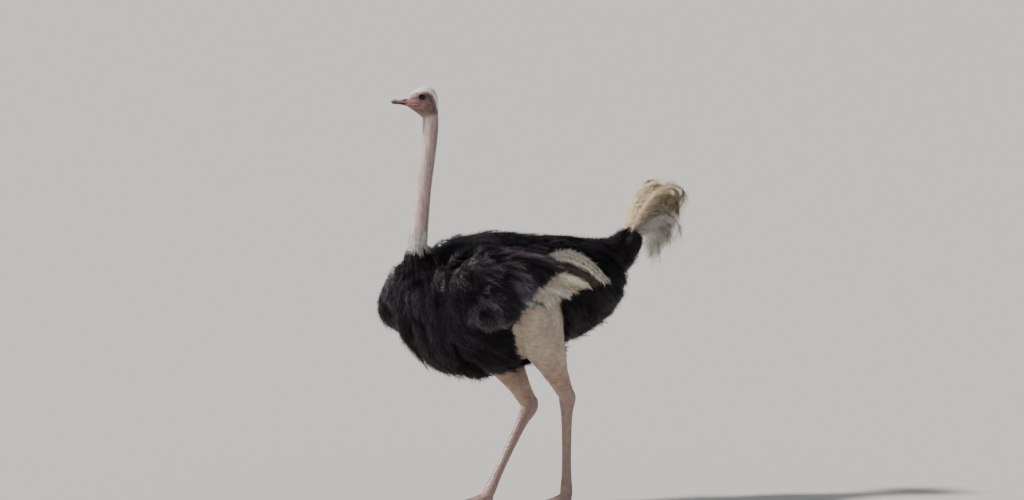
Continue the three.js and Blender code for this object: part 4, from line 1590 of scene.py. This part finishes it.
def ridge_of(node, run, top, reach, count):
    """Points along part of a limb, each the one that stands out most towards top in its slice."""
    own = skin_points[on_skin(node)]
    along = own @ run
    levels = mix(along.min(), along.max(), np.linspace(*reach, count))
    half = 0.6 * (levels[1] - levels[0])
    found = []
    for level in levels:
        slice_points = own[np.abs(along - level) < max(half, 6 * MM)]
        outer = slice_points[np.argsort(slice_points @ top)[-4:]]
        found.append(outer.mean(axis=0))
    ridge = np.array(found)
    for _ in range(3):
        ridge[1:-1] = (ridge[:-2] + 2 * ridge[1:-1] + ridge[2:]) / 4
    return ridge


SCUTE_STATIONS = 6
SCUTE_HEIGHT = (1.1, -0.2)  # over the skin at a plate's middle and at its ends, in millimetres


def scutes(side, seed):
    """Overlapping plates across the front of the shank and the tops of the toes."""
    rng = np.random.default_rng(seed)
    coat = Coat()
    forward = np.array([0.0, -1, 0])
    for node, run, top, reach, count, half_girth in (
        (f"shank_{side}", -UP, forward, (0.13, 0.87), 32, 19),
        (f"toe_inner_{side}", forward, UP, (0.42, 0.93), 12, 17),
        (f"toe_outer_{side}", forward, UP, (0.5, 0.9), 6, 9),
    ):
        ridge, triangle = nearest(skin_tree, ridge_of(node, run, top, reach, count))
        down = unit(np.gradient(ridge, axis=0))
        length = np.linalg.norm(np.gradient(ridge, axis=0), axis=1)
        shares = np.linspace(0, 1, SCUTE_STATIONS)
        for hand in (1, -1):
            place, path, normals = ridge, [], []
            spot = triangle
            for share in shares:
                normal = unit(at_triangles(skin_normals, spot))
                path.append(place + normal * mix(*SCUTE_HEIGHT, share) * MM)
                normals.append(normal)
                outward = unit(np.cross(normal, down)) * hand
                step = outward * half_girth / (SCUTE_STATIONS - 1) * MM * rng.uniform(0.9, 1.1, (count, 1))
                place, spot = nearest(skin_tree, place + step)
            across = unit(np.cross(normals[2], path[3] - path[2]))
            across = across + 0.13 * np.sign(dot(across, down)) * normals[2]
            width = length[:, None] * np.array([1.12, 1.1, 1.02, 0.85, 0.5])
            tone = rng.uniform(0.8, 1.15, (count, 1, 1))
            hue = np.tile(SCUTE, (count, SCUTE_STATIONS, 1)) * tone * (1 - 0.25 * shares[:, None])
            spots = np.column_stack([np.full(count, 0.5), np.linspace(0.02, 0.98, count)])
            centre = spots[:, None] + PATCH * 0.45 * hand * np.stack([shares, 0 * shares], -1)
            half = np.array([0, 0.4 * PATCH])
            coat.add(np.stack(path, 1), across, width, hue, centre, half, np.stack(normals, 1))
    coat.built(f"scutes_{side}", CLAW_FINISH, "shank")


for number, side in enumerate(SIDES):
    scutes(side, 81 + number)
for side in SIDES:
    eyeball(side)
    claw(side)
bill("bill_upper", 1)
bill("bill_lower", -1)

# ============================================================ camera, light and floor
VIEW_AZIMUTH = math.radians(52)
VIEW_ELEVATION = math.radians(5)
VIEW_DISTANCE = 25
VIEW_LENS = 189  # millimetres, on a sensor 36 mm wide
AIM = np.array([MIDDLE, -0.1955, 1.212])
AIM_ASIDE = 0.014


def add_camera():
    right = np.array([math.cos(VIEW_AZIMUTH), math.sin(VIEW_AZIMUTH), 0])
    ahead = np.array([-math.sin(VIEW_AZIMUTH), math.cos(VIEW_AZIMUTH), 0])
    forward = ahead * math.cos(VIEW_ELEVATION) - UP * math.sin(VIEW_ELEVATION)
    aim = AIM + AIM_ASIDE * right
    data = bpy.data.cameras.new("camera")
    data.lens = VIEW_LENS
    data.sensor_width = 36
    data.clip_end = 500
    camera = linked("camera", data)
    camera.location = aim - VIEW_DISTANCE * forward
    camera.rotation_mode = "QUATERNION"
    camera.rotation_quaternion = Vector(forward).to_track_quat("-Z", "Y")
    bpy.context.scene.camera = camera


add_camera()


def add_sun(name, towards, strength, colour, softness):
    data = bpy.data.lights.new(name, "SUN")
    data.energy = strength
    data.color = colour
    data.angle = math.radians(softness)
    sun = linked(name, data)
    sun.rotation_mode = "QUATERNION"
    sun.rotation_quaternion = Vector(towards).to_track_quat("-Z", "Y")


add_sun("key", (0.6, 0.85, -1.1), 6.2, (1, 0.96, 0.9), 6)
world = bpy.data.worlds.new("studio")
bpy.context.scene.world = world
world.use_nodes = True
sky = world.node_tree.nodes["Background"].inputs
sky["Color"].default_value = (0.93, 0.96, 1, 1)
sky["Strength"].default_value = 0.5
ground = bmesh.new()
bmesh.ops.create_grid(ground, x_segments=1, y_segments=1, size=200)
floor_mesh = mesh_of(ground, "floor")
floor_finish = Finish("floor", Roughness=0.9, Specular_IOR_Level=0.1)
floor_finish.surface(Base_Color=linear(182, 180, 177))
floor_mesh.materials.append(floor_finish.material)
floor = linked("floor", floor_mesh)
